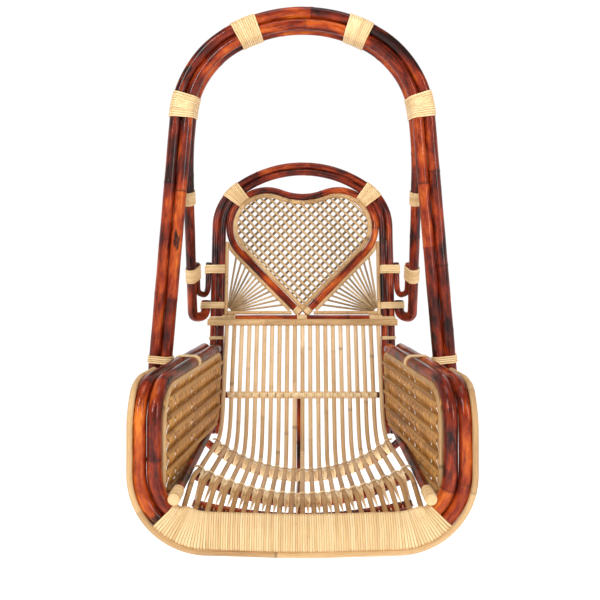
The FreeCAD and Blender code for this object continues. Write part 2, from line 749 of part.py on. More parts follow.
def make_fans():
    half = BEAD_WIDTH / 2
    reach = LOBE_RADIUS + HOOP_CANE / 2 + 2 * GAP
    top = LOBE_RISE - math.sqrt(reach ** 2 - (FAN_SIDE_X - half - LOBE_X) ** 2)
    upright_ends = [on_back(-FAN_SIDE_X, rise, BEAD_BACK) for rise in (FAN_FOOT_RISE - half, top)]
    upright = straight_bead(*upright_ends)
    inner = fan_diagonal_x(FAN_FOOT_RISE + half) + half / math.sin(radians(HEART_DIAGONAL_ANGLE)) + GAP
    foot_ends = [on_back(-x, FAN_FOOT_RISE, BEAD_BACK) for x in (FAN_SIDE_X - half - GAP, inner)]
    foot = straight_bead(*foot_ends)
    frame = Part.makeCompound([upright, foot, fan_diagonal()])
    step = (90 - 2 * FAN_FIRST_ANGLE) / (FAN_RAYS - 1)
    rays = Part.makeCompound([fan_ray(radians(FAN_FIRST_ANGLE + step * i)) for i in range(FAN_RAYS)])
    return {
        "left_fan_frame": frame,
        "right_fan_frame": mirrored(frame),
        "left_fan_rays": rays,
        "right_fan_rays": mirrored(rays),
    }


def make_back():
    shapes = {
        "back_hoop_outer_cane": hoop_cane(0.0),
        "back_hoop_inner_cane": hoop_cane(HOOP_STEP),
    }
    centre = on_back(-LOBE_X, LOBE_RISE)
    angle = radians(HOOP_BINDING_ANGLE)
    frame = arc_frame(centre, HOOP_SHOULDER_RADIUS, angle, V(-1, 0, 0), RECLINE_UP, -RECLINE_FRONT)
    row = [(-2 * HOOP_STEP, 0, HOOP_CANE / 2), (0, 0, HOOP_CANE / 2)]
    peel = winding("hoop binding", frame, row, HOOP_BINDING_TURNS, LASH, PEEL_PITCH)
    shapes["hoop_bindings"] = both_sides(peel)
    end = INNER_POST_X - HOOP_CANE / 2 - GAP
    shapes["back_cross_rail"] = rod(on_back(-end, RAIL_RISE), on_back(end, RAIL_RISE), HOOP_CANE)
    single = [(0, 0, HOOP_CANE / 2)]
    centre = on_back(-end + LASH + RAIL_BINDING_TURNS * LASH_PITCH / 2, RAIL_RISE)
    frame = straight_frame(centre, V(1, 0, 0), RECLINE_UP)
    shapes["rail_end_bindings"] = both_sides(
        winding("rail end binding", frame, single, RAIL_BINDING_TURNS, LASH, LASH_PITCH)
    )
    frame = straight_frame(on_back(0, RAIL_RISE), V(1, 0, 0), RECLINE_UP)
    shapes["heart_tip_binding"] = winding("tip binding", frame, single, TIP_BINDING_TURNS, LASH, LASH_PITCH)
    cap_end = POST_X + HOOP_CANE / 2 + CAP_OVERHANG
    cap_front = SLAT_FRONT + SLAT / 2 + GAP
    line = Part.LineSegment(on_back(-cap_end, CAP_RISE, cap_front), on_back(cap_end, CAP_RISE, cap_front))
    shapes["slat_cap_rail"] = half_round([line.toShape()], CAP_WIDTH, CAP_HEIGHT, RECLINE_FRONT)
    return shapes


# Seat

def sag_radius(half_width, sag):
    return (half_width ** 2 + sag ** 2) / (2 * sag)


def seat_point(share, y, low, half_width, sag):
    """Middle of a slat on one seat line; share runs from -1 at the left to 1 at the right."""
    radius = sag_radius(half_width, sag)
    x = share * half_width
    return V(x, y, low + radius - math.sqrt(radius ** 2 - x ** 2))


def slat_points(share):
    middle = seat_point(share, MIDDLE_LINE_Y, MIDDLE_LINE_Z, MIDDLE_HALF_WIDTH, MIDDLE_SAG)
    front = seat_point(share, FRONT_LINE_Y, FRONT_LINE_Z, FRONT_HALF_WIDTH, FRONT_SAG)
    end = seat_point(share, SEAT_END_Y, END_LINE_Z, END_HALF_WIDTH, END_SAG)
    back_base = on_back(0, 0, SLAT_FRONT)
    run = (middle - front).normalize()
    to_back = (back_base - middle).dot(RECLINE_FRONT) / run.dot(RECLINE_FRONT)
    corner = middle + run * to_back
    to_break = (SEAT_BREAK_Y - front.y) / run.y
    kink = front + run * to_break
    top = on_back(share * SLAT_TOP_HALF_WIDTH, CAP_RISE + CAP_WIDTH / 2, SLAT_FRONT)
    return [top, corner, kink, end]


def make_slat(share):
    """One slat, cut off flat at the front roll."""
    top, corner, kink, end = slat_points(share)
    beyond = end + (end - kink).normalize() * SLAT
    bar = cane([top, corner, kink, beyond], [SEAT_BEND, SEAT_BREAK_BEND], SLAT)
    room = BACK_Y - SEAT_END_Y
    keep = Part.makeBox(2 * room, 2 * room, 2 * room, V(-room, SEAT_END_Y, END_LINE_Z - room))
    return bar.common(keep)


def slat_shares():
    return [2 * index / (SLATS - 1) - 1 for index in range(SLATS)]


def cross_cane(y, low, half_width, sag, step, end_x):
    """A cane bent under the slats along one seat line."""
    radius = sag_radius(half_width, sag)
    centre = low + radius
    reach = radius + step
    depth = math.sqrt(reach ** 2 - end_x ** 2)
    ends = [V(-end_x, y, centre - depth), V(end_x, y, centre - depth)]
    arc = Part.Arc(ends[0], V(0, y, centre - reach), ends[1]).toShape()
    return tube([arc], CROSS_CANE)


def slat_lashing(name, frames):
    """Peel that passes over each slat and round the cross cane between slats, one turn a slat."""
    over = CROSS_STEP + SLAT / 2 + GAP + LASH / 2
    round_ = CROSS_CANE / 2 + GAP + LASH / 2
    points = []
    headings = []
    for between, above, after in frames:
        centre, front, up, _ = between
        points.append(centre - front * round_)
        headings.append(up)
        centre, front, up, _ = above
        points.append(centre + up * over)
        headings.append(unit(after[0] + after[1] * round_ - points[-2]))
        centre, front, up, _ = after
        points.append(centre + front * round_)
        headings.append(-up)
        points.append(centre - up * round_)
        headings.append(-front)
    report_turn_gap(name, points, LASH, 4)
    return peel_tube(points, headings, LASH)


def seat_line_frames(y, low, half_width, sag):
    """Frames on a bent cross cane between, above and after each slat."""
    radius = sag_radius(half_width, sag)
    reach = radius + CROSS_STEP
    centre = V(0, y, low + radius)

    def at(share):
        angle = math.asin(share * half_width / radius)
        up = V(-math.sin(angle), 0, math.cos(angle))
        return centre - up * reach, V(0, -1, 0), up, V(math.cos(angle), 0, math.sin(angle))

    return lash_frames(at, slat_shares(), END_TURN_SHARE)


def lash_frames(at, shares, end_turn):
    """Frames before, above and after each slat; the first and last turn lie close to their slat."""
    half = 1 / (SLATS - 1)
    places = [shares[0] - half * end_turn] + [share + half for share in shares[:-1]]
    places.append(shares[-1] + half * end_turn)
    return [(at(before), at(share), at(after)) for before, share, after in zip(places, shares, places[1:])]


def slat_x_on_back(share, rise):
    """Place of a slat across the back at a height."""
    top, corner = slat_points(share)[:2]
    share_down = (CAP_RISE + CAP_WIDTH / 2 - rise) / (corner - top).dot(-RECLINE_UP)
    return top.x + (corner.x - top.x) * share_down


def back_line_frames():
    """Frames on the straight cane behind the slats of the back."""
    def at(share):
        centre = on_back(slat_x_on_back(share, BACK_LINE_RISE), BACK_LINE_RISE, SLAT_FRONT - CROSS_STEP)
        return centre, -RECLINE_UP, RECLINE_FRONT, V(1, 0, 0)

    return lash_frames(at, slat_shares()[1:-1], 1.0)


def loop_centre():
    """Centre of the left front corner of the arm loops."""
    x = -ARM_FRONT_X + LOOP_BEND
    bow = math.atan2(LOOP_BOW, ARM_FRONT_X)
    low = LOOP_BOTTOM_Z - LOOP_BEND * math.tan(bow)
    return V(x, ARM_FRONT_Y, low + LOOP_BEND / math.cos(bow))


def side_rail_points():
    """Ends of the left side rail: it lies on the middle cross cane and ends at posts and roll."""
    radius = sag_radius(MIDDLE_HALF_WIDTH, MIDDLE_SAG)
    seat = radius + CROSS_STEP - (CROSS_CANE + RAIL_CANE) / 2 - 2 * GAP
    depth = math.sqrt(seat ** 2 - SIDE_RAIL_MIDDLE_X ** 2)
    middle = V(-SIDE_RAIL_MIDDLE_X, MIDDLE_LINE_Y, MIDDLE_LINE_Z + radius - depth)
    angle = radians(SIDE_RAIL_FRONT_ANGLE)
    inside = LOOP_BEND - (ARM_CANE + RAIL_CANE) / 2 - 2 * GAP
    front = loop_centre() + V(-math.sin(angle), 0, -math.cos(angle)) * inside
    run = (middle - front).normalize()
    post_face = on_back(0, 0, HOOP_CANE / 2 + 2 * GAP + RAIL_CANE / 2 * math.tan(radians(BACK_RECLINE)))
    to_post = (post_face - middle).dot(RECLINE_FRONT) / run.dot(RECLINE_FRONT)
    return middle + run * to_post, front


def make_spine():
    """Cane under the middle slat, below the cross canes."""
    drop = CROSS_STEP + (CROSS_CANE + SPINE_CANE) / 2 + LASH + 2 * GAP
    _, corner, kink, _ = slat_points(0.0)
    run = unit(kink - corner)
    down = V(0, -run.z, run.y)
    back = -RECLINE_FRONT
    start = on_back(0, BACK_LINE_RISE, SLAT_FRONT) + back * drop
    low = corner + (back + down) * (drop / (1 + back.dot(down)))
    finish = low + run * ((SPINE_END_Y - low.y) / run.y)
    aside = V(-SPINE_OFFSET, 0, 0)
    return cane([start + aside, low + aside, finish + aside], [SEAT_BEND + drop], SPINE_CANE)


def make_seat():
    slats = [make_slat(share) for share in slat_shares()]
    middle = (MIDDLE_LINE_Y, MIDDLE_LINE_Z, MIDDLE_HALF_WIDTH, MIDDLE_SAG)
    front = (FRONT_LINE_Y, FRONT_LINE_Z, FRONT_HALF_WIDTH, FRONT_SAG)
    rail_back, rail_front = side_rail_points()
    rail = rod(rail_back, rail_front, RAIL_CANE)
    along = (FRONT_LINE_Y - rail_front.y) / (rail_back.y - rail_front.y)
    rail_x = -(rail_front + (rail_back - rail_front) * along).x
    back_end = INNER_POST_X - HOOP_CANE / 2 - GAP
    back_ends = [on_back(x, BACK_LINE_RISE, SLAT_FRONT - CROSS_STEP) for x in (-back_end, back_end)]
    lash_length = SIDE_RAIL_LASH_TURNS * PEEL_PITCH
    lash_centre = rail_front + unit(rail_back - rail_front) * (lash_length / 2 + ARM_CANE / 2 + PEEL)
    lash_frame = straight_frame(lash_centre, rail_back - rail_front, V(0, 0, 1))
    single = [(0, 0, RAIL_CANE / 2)]
    rail_lash = winding(
        "side rail lashing", lash_frame, single, SIDE_RAIL_LASH_TURNS, PEEL, PEEL_PITCH,
    )
    return {
        "seat_slats": Part.makeCompound(slats),
        "middle_cross_cane": cross_cane(*middle, CROSS_STEP, SIDE_RAIL_MIDDLE_X + CROSS_CANE / 2),
        "front_cross_cane": cross_cane(*front, CROSS_STEP, rail_x - RAIL_CANE / 2 - 4 * GAP),
        "back_cross_cane": rod(*back_ends, CROSS_CANE),
        "middle_cross_lashing": slat_lashing("middle lashing", seat_line_frames(*middle)),
        "front_cross_lashing": slat_lashing("front lashing", seat_line_frames(*front)),
        "back_cross_lashing": slat_lashing("back lashing", back_line_frames()),
        "seat_spine_cane": make_spine(),
        "left_side_rail": rail,
        "right_side_rail": mirrored(rail),
        "side_rail_lashings": both_sides(rail_lash),
    }


def make_under_canes():
    """Two dark canes under the slats behind the front roll."""
    canes = []
    for setback in UNDER_CANE_SETBACKS:
        y = SEAT_END_Y + setback
        touch = []
        for share in (-1.0, 0.0, 1.0):
            _, _, kink, end = slat_points(share)
            run = end - kink
            below = CROSS_STEP * run.Length / abs(run.y) + GAP
            touch.append(kink + run * ((y - kink.y) / run.y) - V(0, 0, below))
        canes.append(tube([Part.Arc(*touch).toShape()], CROSS_CANE))
    return {"front_under_canes": Part.makeCompound(canes)}


# Arms and front roll

def front_z(x, below):
    """Height of a front line that bows down to the middle, at a level below the inner arm cane."""
    return LOOP_BOTTOM_Z - below - LOOP_BOW * (1 - abs(x) / ARM_FRONT_X)


def arm_loop(step):
    """Path of one arm cane from post to post; step is how far it lies outside the inner one."""
    side = ARM_FRONT_X + step
    left = [
        V(-ARM_REAR_X - step, arm_rear_y(), ARM_Z),
        V(-side, ARM_FRONT_Y, ARM_Z),
        V(-side, ARM_FRONT_Y, front_z(side, step)),
    ]
    points = left + [V(0, ARM_FRONT_Y, front_z(0, step))] + [flipped(p) for p in reversed(left)]
    bends = [ARM_BEND, LOOP_BEND + step]
    return bent_edges(points, bends + [LOOP_BOW_BEND] + bends[::-1])


def roll_path(step, angle):
    """Line along the front, on or beside the inner arm cane, with part of both corners."""
    edges = arm_loop(step)
    corners = [edge for edge in edges if edge.Curve.TypeId == "Part::GeomCircle"]
    bottom = edges[edges.index(corners[1]) + 1:edges.index(corners[3])]
    part = radians(angle)
    first = corners[1].Curve.toShape(corners[1].LastParameter - part, corners[1].LastParameter)
    last = corners[3].Curve.toShape(corners[3].FirstParameter, corners[3].FirstParameter + part)
    return [first] + bottom + [last]


def roll_end_path():
    """The part of the left corner between the middle wrap and the end of the roll."""
    corner = roll_path(0.0, ROLL_END_ANGLE)[0]
    used = radians(ROLL_END_ANGLE - ROLL_TOP_ANGLE) - GAP / LOOP_BEND
    return [corner.Curve.toShape(corner.FirstParameter, corner.FirstParameter + used)]


def roll_sleeve(edges, circles, margin):
    """Bar round the canes of the roll; circles are placed outward from the inner arm cane."""
    path = Part.Wire(edges)
    at, along = start_of(path)
    back = V(0, 1, 0)
    out = along.cross(back).normalize()
    if out.z > 0:
        out = -out

    def place(circle, angle):
        a, b, radius = circle[:3]
        return at + out * (a + radius * math.cos(angle)) + back * (b + radius * math.sin(angle))

    arcs = hull_of(circles, margin)
    section = []
    for arc, after in zip(arcs, arcs[1:] + arcs[:1]):
        first, last = arc[3:]
        ends = [place(arc, angle) for angle in (first, (first + last) / 2, last)]
        section.append(Part.Arc(*ends).toShape())
        section.append(Part.LineSegment(place(arc, last), place(after, after[3])).toShape())
    return path.makePipeShell([Part.Wire(section)], True, False)


def roll_wrap(edges, circles):
    outside = roll_sleeve(edges, circles, GAP + ROLL_PEEL)
    return outside.cut(roll_sleeve(edges, circles, GAP))


def make_roll():
    """Peel wrap of the front: both arm canes, and the thin cane on top of them in the middle."""
    arms = [(0, 0, ARM_CANE / 2), (ARM_STEP, 0, ARM_CANE / 2)]
    top = (-ROLL_TOP_STEP, 0, ROLL_TOP_CANE / 2)
    middle = roll_wrap(roll_path(0.0, ROLL_TOP_ANGLE), [top, arms[0], arms[1], arms[0]])
    end = roll_wrap(roll_end_path(), arms)
    return {
        "front_roll_wrap": Part.makeCompound([middle, end, mirrored(end)]),
        "roll_top_cane": tube(roll_path(-ROLL_TOP_STEP, ROLL_TOP_ANGLE), ROLL_TOP_CANE),
    }


def trim_cane():
    """Thin cane outside the arms and the front, below the roll."""
    outer = (ARM_CANE + TRIM_CANE) / 2 + 2 * GAP
    side = ARM_FRONT_X + ARM_STEP + TRIM_SIDE_STEP
    below = ARM_STEP + ROLL_RADIUS + TRIM_CANE / 2 + GAP
    left = [V(-arm_x(y) - ARM_STEP - outer, y, ARM_Z) for y in (TRIM_START_Y, TRIM_TURN_Y)]
    left.append(V(-side, ARM_FRONT_Y - TRIM_FRONT_STEP, ARM_Z))
    left.append(V(-side, ARM_FRONT_Y - TRIM_FOOT_STEP, front_z(side, below)))
    middle = V(0, ARM_FRONT_Y - TRIM_FOOT_STEP, front_z(0, below))
    points = left + [middle] + [flipped(p) for p in reversed(left)]
    bends = [TRIM_TURN_BEND, TRIM_BEND, TRIM_LOOP_BEND]
    return cane(points, bends + [LOOP_BOW_BEND] + bends[::-1], TRIM_CANE)


def make_arms():
    return {
        "arm_loop_inner_cane": tube(arm_loop(0.0), ARM_CANE),
        "arm_loop_outer_cane": tube(arm_loop(ARM_STEP), ARM_CANE),
        "outer_trim_cane": trim_cane(),
    }


def make_arm_lashings():
    """Peel round the arch legs and the arm canes, and round the posts above the arms."""
    along = leg_length_to(ARM_Z + ARM_LASH_TURNS * LASH_PITCH / 2)
    leg_axis = leg_point(0, 1) - leg_point(0, 0)
    frame = straight_frame(leg_point(0, along), leg_axis, V(-1, 0, 0))
    pair = [(0, 0, ARCH_CANE / 2), (ARCH_STEP, 0, ARCH_CANE / 2)]
    leg_peel = winding("leg lashing", frame, pair, ARM_LASH_TURNS, LASH, LASH_PITCH)
    arm_at = V(-arm_x(0), 0, ARM_Z)
    arm_axis = V(-arm_x(-1) + arm_x(0), -1, 0)
    frame = straight_frame(arm_at, arm_axis, V(-1, 0, 0))
    spread = ARM_STEP * unit(arm_axis).dot(V(0, -1, 0))
    arms = [(0, 0, ARM_CANE / 2), (spread, 0, ARM_CANE / 2)]
    arm_peel = winding("arm lashing", frame, arms, ARM_BAND_TURNS, LASH, LASH_PITCH)
    rise = rise_at(ARM_Z + ARM_CANE / 2 + LASH) + POST_LASH_TURNS * LASH_PITCH / 2 + LASH
    post_peel = post_binding("post lashing", rise, POST_LASH_TURNS, -POST_X, HOOP_CANE, LASH, LASH_PITCH)
    return {
        "arch_arm_lashings": both_sides(Part.makeCompound([leg_peel, arm_peel])),
        "arm_post_lashings": both_sides(post_peel),
    }


# Side panels

PANEL_REACH = (ARM_CANE + BORDER_CANE) / 2 + 2 * GAP
PANEL_FRONT_Y = ARM_FRONT_Y + math.sqrt(PANEL_REACH ** 2 - PANEL_INSET ** 2)


def make_panel():
    """Left side panel: border, strips between inner and outer rods, in the panel's own plane."""
    run = V(arm_x(-1) - arm_x(0), 0, 0)
    along = unit(V(run.x, 1, 0))
    inward = V(along.y, -along.x, 0)
    base = V(-arm_x(PANEL_FRONT_Y), PANEL_FRONT_Y, 0) + inward * PANEL_INSET

    def at(y, z, aside=0.0):
        return base + along * ((y - base.y) / along.y) + V(0, 0, z) + inward * aside

    clear = (ARM_CANE + BORDER_CANE) / 2 + PANEL_ROOM
    top = ARM_Z - math.sqrt(clear ** 2 - PANEL_INSET ** 2)
    rail_back, rail_front = side_rail_points()
    lift = (RAIL_CANE + BORDER_CANE) / 2 + 2 * GAP
    post_room = SLAT_FRONT + (SLAT + BORDER_CANE) / 2 + 2 * GAP

    def rear_y(z):
        return on_back(0, rise_at(z, post_room), post_room).y

    def low_z(y):
        share = (y - rail_front.y) / (rail_back.y - rail_front.y)
        return rail_front.z + (rail_back.z - rail_front.z) * share + lift

    corners = [(PANEL_FRONT_Y, low_z(PANEL_FRONT_Y)), (PANEL_FRONT_Y, top), (rear_y(top), top)]
    low_rear = low_z(rear_y(low_z(rail_back.y)))
    corners.append((rear_y(low_rear), low_rear))
    bends = [PANEL_BEND, PANEL_FRONT_BEND, PANEL_BEND, PANEL_BEND]
    start_y = (corners[0][0] + corners[3][0]) / 2
    seam = [(start_y - GAP / 2, low_z(start_y)), (start_y + GAP / 2, low_z(start_y))]
    route = [at(y, z) for y, z in seam[:1] + corners + seam[1:]]
    border = cane(route, bends, BORDER_CANE)
    return border, panel_filling(at, corners, bends, inward, rear_y)


def panel_filling(at, corners, bends, inward, rear_y):
    """Strips and rods cut to the inside of the border."""
    inset = BORDER_CANE / 2 + 2 * GAP
    rear_inset = inset / math.cos(radians(BACK_RECLINE))
    (front, low), (_, top), (rear_top, _), (_, low_rear) = corners
    inner = [
        (front + inset, low + inset),
        (front + inset, top - inset),
        (rear_y(top - inset) - rear_inset, top - inset),
        (rear_y(low_rear + inset) - rear_inset, low_rear + inset),
    ]
    deep = ROD + STRIP_THICKNESS
    outline = [at(y, z, -deep) for y, z in inner]
    middle = (outline[0] + outline[3]) * 0.5
    edges = bent_edges([middle] + outline + [middle], [max(GAP, bend - inset) for bend in bends])
    area = Part.Face(Part.Wire(edges)).extrude(inward * (2 * deep))
    rod_side = (ROD + STRIP_THICKNESS) / 2 + GAP
    rod_step = (top - low_rear) / (RODS + 0.5)
    long = rear_top + 2 * ROD
    short = front - 2 * ROD
    inner_rods = []
    outer_rods = []
    for index in range(RODS):
        z = top - inset - rod_step * (index + 0.5)
        inner_rods.append(rod(at(short, z, rod_side), at(long, z, rod_side), ROD))
        z -= rod_step / 2
        outer_rods.append(rod(at(short, z, -rod_side), at(long, z, -rod_side), ROD))
    strips = []
    count = int((rear_top - front) / STRIP_PITCH)
    spare = (rear_top - front - (count - 1) * STRIP_PITCH) / 2
    for index in range(count):
        y = front + spare + index * STRIP_PITCH
        foot = at(y - STRIP_WIDTH / 2, low, -STRIP_THICKNESS / 2)
        across = at(y + STRIP_WIDTH / 2, low, -STRIP_THICKNESS / 2)
        sides = [foot, across, across + inward * STRIP_THICKNESS, foot + inward * STRIP_THICKNESS, foot]
        strips.append(Part.Face(Part.makePolygon(sides)).extrude(V(0, 0, top - low)))

    def cut(bars):
        return Part.makeCompound([solid for bar in bars for solid in bar.common(area).Solids])

    return cut(inner_rods), cut(strips), cut(outer_rods)


def make_panels():
    border, (inner_rods, strips, outer_rods) = make_panel()
    pieces = {
        "panel_border": border,
        "panel_inner_rods": inner_rods,
        "panel_strips": strips,
        "panel_outer_rods": outer_rods,
    }
    shapes = {}
    for name, shape in pieces.items():
        shapes["left_" + name] = shape
        shapes["right_" + name] = mirrored(shape)
    return shapes


def make_chair():
    shapes = {}
    makers = (
        make_arch, make_arch_bindings, make_hangers, make_hanger_bindings, make_post_bindings,
        make_back, make_heart, make_fans, make_seat, make_under_canes, make_arms, make_roll,
        make_arm_lashings, make_panels,
    )
    for maker in makers:
        shapes.update(maker())
    return shapes


def main():
    os.makedirs("parts", exist_ok=True)
    for name, shape in make_chair().items():
        if not shape.isValid():
            print(f"{name}: not valid")
        shape.exportStep(f"parts/{name}.step")


main()
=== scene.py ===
import math
import random

import bpy
import numpy as np
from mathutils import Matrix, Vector


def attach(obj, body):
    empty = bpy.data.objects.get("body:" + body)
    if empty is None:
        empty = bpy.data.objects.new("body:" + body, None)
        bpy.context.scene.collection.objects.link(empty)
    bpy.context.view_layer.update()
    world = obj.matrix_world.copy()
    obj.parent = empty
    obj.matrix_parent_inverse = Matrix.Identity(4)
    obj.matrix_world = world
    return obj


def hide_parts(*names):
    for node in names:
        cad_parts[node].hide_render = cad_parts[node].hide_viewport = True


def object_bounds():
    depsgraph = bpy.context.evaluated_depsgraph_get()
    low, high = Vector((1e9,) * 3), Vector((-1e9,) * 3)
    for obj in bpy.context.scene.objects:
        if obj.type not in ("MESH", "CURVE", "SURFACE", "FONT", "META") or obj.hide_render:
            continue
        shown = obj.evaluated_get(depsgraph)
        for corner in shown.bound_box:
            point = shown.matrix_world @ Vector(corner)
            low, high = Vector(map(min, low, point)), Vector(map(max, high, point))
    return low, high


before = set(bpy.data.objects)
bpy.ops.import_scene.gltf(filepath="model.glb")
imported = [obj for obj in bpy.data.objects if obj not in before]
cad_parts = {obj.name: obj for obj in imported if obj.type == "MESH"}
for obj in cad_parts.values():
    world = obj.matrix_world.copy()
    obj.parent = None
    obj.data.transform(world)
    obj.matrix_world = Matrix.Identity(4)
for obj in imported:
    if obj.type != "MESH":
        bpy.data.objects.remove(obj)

# Looks of a hanging cane swing chair, in metres. The line of each cane is read from its CAD solid,
# and the canes, their windings and their lashings are built anew along those lines.

CAD_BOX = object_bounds()
BODY = "root"
MM = 0.001
TINY_LENGTH, TINY_SQUARE, TINY_GAP = 1e-12, 1e-18, 1e-15
UP = np.array((0.0, 0.0, 1.0))
REAR = np.array((0.0, 1.0, 0.0))
RIGHT = np.array((1.0, 0.0, 0.0))

# Reading of the solids
MARCH_STEP = 4 * MM
RIM_ANGLE = math.radians(35)
WELD_DIGITS = 7
SMOOTHING = 2
NEAR_WIDTHS = 60
ROUND_REACH, SPLIT_REACH = 2.6, 5
END_LEAN = 0.7
END_HEIGHT = 0.8
LEAST_RING = 5
FRAME_STEEP, WIND_STEEP = 0.9, 0.8
SPAN_SAMPLES = 400

# Canes
CANE_SIDES, PALE_SIDES, THIN_SIDES, LATTICE_SIDES, SPLIT_SIDES = 22, 16, 12, 8, 8
DARK_JOINTS, PALE_JOINTS, THIN_JOINTS, SPLIT_JOINTS = (0.13, 0.30), (0.12, 0.3), (0.1, 0.3), (0.12, 0.26)
COARSE_STEP = 8 * MM
END_ROUNDING = 0.14
END_WIDTH = 0.88
JOINT_WIDTH = 3.5 * MM
JOINT_LINE = 1.2 * MM
JOINT_RISE = 0.045
SWELL = 0.012
SWELL_LENGTH = 0.11
GRAIN_SPAN = 40
SHARP_ANGLE = math.radians(50)
COMMON_WARMTH = 0.45
ARM_WARM_HEIGHTS = (-0.80, -0.735)
# Painted shade on the slats starts at this depth and reaches its full strength over this run.
PAINTED_SHADE_FROM, PAINTED_SHADE_RUN = 0.10, 0.32

# Peel
PEEL_THICKNESS = 2.6 * MM
LASH_THICKNESS = 1.8 * MM
ROLL_THICKNESS = 3.2 * MM
PEEL_FILL = 0.985
LASH_FILL = 0.9
THIN_END = 0.35
TURN_POINTS, ROLL_POINTS, BACK_LASH_POINTS = 30, 40, 20
HOOP_GROWTH = 2 * MM
ARCH_LASH_GROWTH = 3.4 * MM
ARM_LASH_GROWTH = 6.5 * MM
RAIL_END_GROWTH = 7 * MM
RAIL_POST_HALF = 7 * MM
RAIL_POST_TURNS = 3
RAIL_WRAP = 42 * MM
RAIL_TURNS = 9
RAIL_CLOSE = 8 * MM
RAIL_TIP_TURNS = 3
RAIL_TIP_RINGS = 8
RAIL_TIP_TILT = 0.47 * math.pi
RAIL_TIP_TONE = 0.45
TIP_LENGTH = 20 * MM
TIP_TURNS = 5
ROLL_TURNS = 116
ROLL_TAPER = 26 * MM
BACK_LASH_TURNS = 96
BACK_LASH_FULL, BACK_LASH_FADE = 4.5 * MM, 6 * MM

# Strand, straps and ties of the seat's cross canes
STRAND_STEPS = 6
STRAND_SHADE = 12
STRAND_LEAN = 0.25
SCALLOP_THICKNESS = 3.6 * MM
SCALLOP_WIDTH = 1.3 * SCALLOP_THICKNESS
SCALLOP_RISE = 0.1 * SCALLOP_THICKNESS
SCALLOP_REAR = 0.12
SCALLOP_DIP = 6 * MM
SCALLOP_POWER = 1.7
STRAP_POINTS = 25
STRAP_WIDTH = 4.6 * MM
STRAP_SPREAD = 4.4 * MM
STRAP_THICKNESS = 1.3 * MM
STRAP_START = math.radians(10)
STRAP_REACH = math.radians(80)
STRAP_POWER = 0.7
STRAP_LAYER = 0.35 * MM
STRAP_CLIMB = 2.4 * MM
TIE_WIDTHS = (10 * MM, 8 * MM, 2.2 * MM, 2 * MM, 2 * MM)
TIE_LEAN = 0.3

# Changes of the canes' lines and radii, as the picture shows them
CROSS_GROWTH = 1.5 * MM
UNDER_SHIFT = 6 * MM
TRIM_ROOM = 0.4 * MM
TRIM_PULL = 12 * MM
TRIM_SMOOTHING = 12
TRIM_FOLLOW = -215 * MM
TRIM_END = -120 * MM
RAIL_CARRY = 13 * MM
SLAT_GROWTH = 0.5 * MM
SLAT_SPREAD = 0.07
SPREAD_FROM, SPREAD_TO = -130 * MM, -250 * MM
PANEL_LIFT = 9 * MM
PANEL_DROP_FRONT = 24 * MM
PANEL_DROP_REAR = 6 * MM
HEART_CARRY = 8 * MM
BEAD_SHIFT = 2.2 * MM
BEAD_GROWTH = 0.4 * MM
BEAD_CARRY = 6 * MM
FAN_BEAD = 10 * MM
FAN_TOP = 3 * MM
FAN_CARRY = 14 * MM
FAN_DROP = 2.5 * MM
FAN_LEAST = 0.8 * MM
FAN_NARROW = 0.86
FAN_STEEP = 0.2
FAN_FOOT_CARRY = 5 * MM
HUB_OUT, HUB_DOWN = 6 * MM, 4 * MM
LATTICE_GROWTH = 0.35 * MM

# Side panels
PANEL_ROD_STEP = 30 * MM
PANEL_ROD_START = 0.62
PANEL_ROD_RADIUS = 4.6 * MM
PANEL_ROD_REACH = 5.6 * MM
PANEL_ROD_LEAST = 30 * MM
PANEL_ROD_TUCK = 0.6
STRIP_ROWS = 56
STRIP_RISE = 4 * MM
STRIP_WAVE = 2.4 * MM
STRIP_THICKNESS = 1.3 * MM
STRIP_WAVE_RANGE, STRIP_WIDTH_RANGE = (0.8, 1.1), (0.96, 1.10)
STRIP_FIRST_TURN = 40

# Nails
NAIL_RADIUS = 1.15 * MM
NAIL_RINGS, NAIL_SIDES = 3, 8
NAIL_DOME = 0.7
NAIL_SINK = 0.2 * MM
NAIL_JITTER = 0.12
NAIL_STEPS = {
    "heart_bead": 23 * MM, "slat_cap_rail": 36 * MM, "left_fan_frame": 47 * MM, "right_fan_frame": 47 * MM,
}

# Camera, for an image of 600 by 600 pixels, and stage
IMAGE = 600
FOCAL_PIXELS = 793
SENSOR = 36.0
CAMERA_PLACE = (0.0, -1.72, -0.436)
AXIS_PIXEL = (302.5, 231.0)
FLOOR_DROP = 0.30
FLOOR_RADIUS = 9.0
FLOOR_SIDES = 96
FLOOR_GLOW = 0.64
WORLD_DIM, WORLD_BRIGHT = 0.25, 1.02
WORLD_FROM, WORLD_TO = -0.5, 0.6
WORLD_LEAN = -0.7
HORIZON_HEIGHT = 0.34
HORIZON_GLOW = 1.6
LIGHT_TARGET = (0.0, 0.0, -0.55)

RNG = random.Random(7)
NOISE = np.random.default_rng(11)


# Reading the frame

def unit(vectors):
    return vectors / np.maximum(np.linalg.norm(vectors, axis=-1, keepdims=True), TINY_LENGTH)


def smooth(values, times):
    """Even out a row of values in place, apart from its ends."""
    for _ in range(times):
        values[1:-1] = (values[:-2] + 2 * values[1:-1] + values[2:]) / 4


def ease(share):
    """Smooth step from nought to one."""
    share = min(1.0, max(0.0, share))
    return share * share * (3 - 2 * share)


def rows_at(where, marks, rows):
    """Rows of numbers between those that are given at the marks."""
    return np.stack([np.interp(where, marks, column) for column in np.asarray(rows).T], axis=1)


def linked_groups(count, links):
    """Label of the connected group that each of count points belongs to."""
    label = np.arange(count)
    while True:
        low = label[links].min(axis=1)
        fresh = label.copy()
        for column in links.T:
            np.minimum.at(fresh, column, low)
        fresh = fresh[fresh]
        if np.array_equal(fresh, label):
            return label
        label = fresh


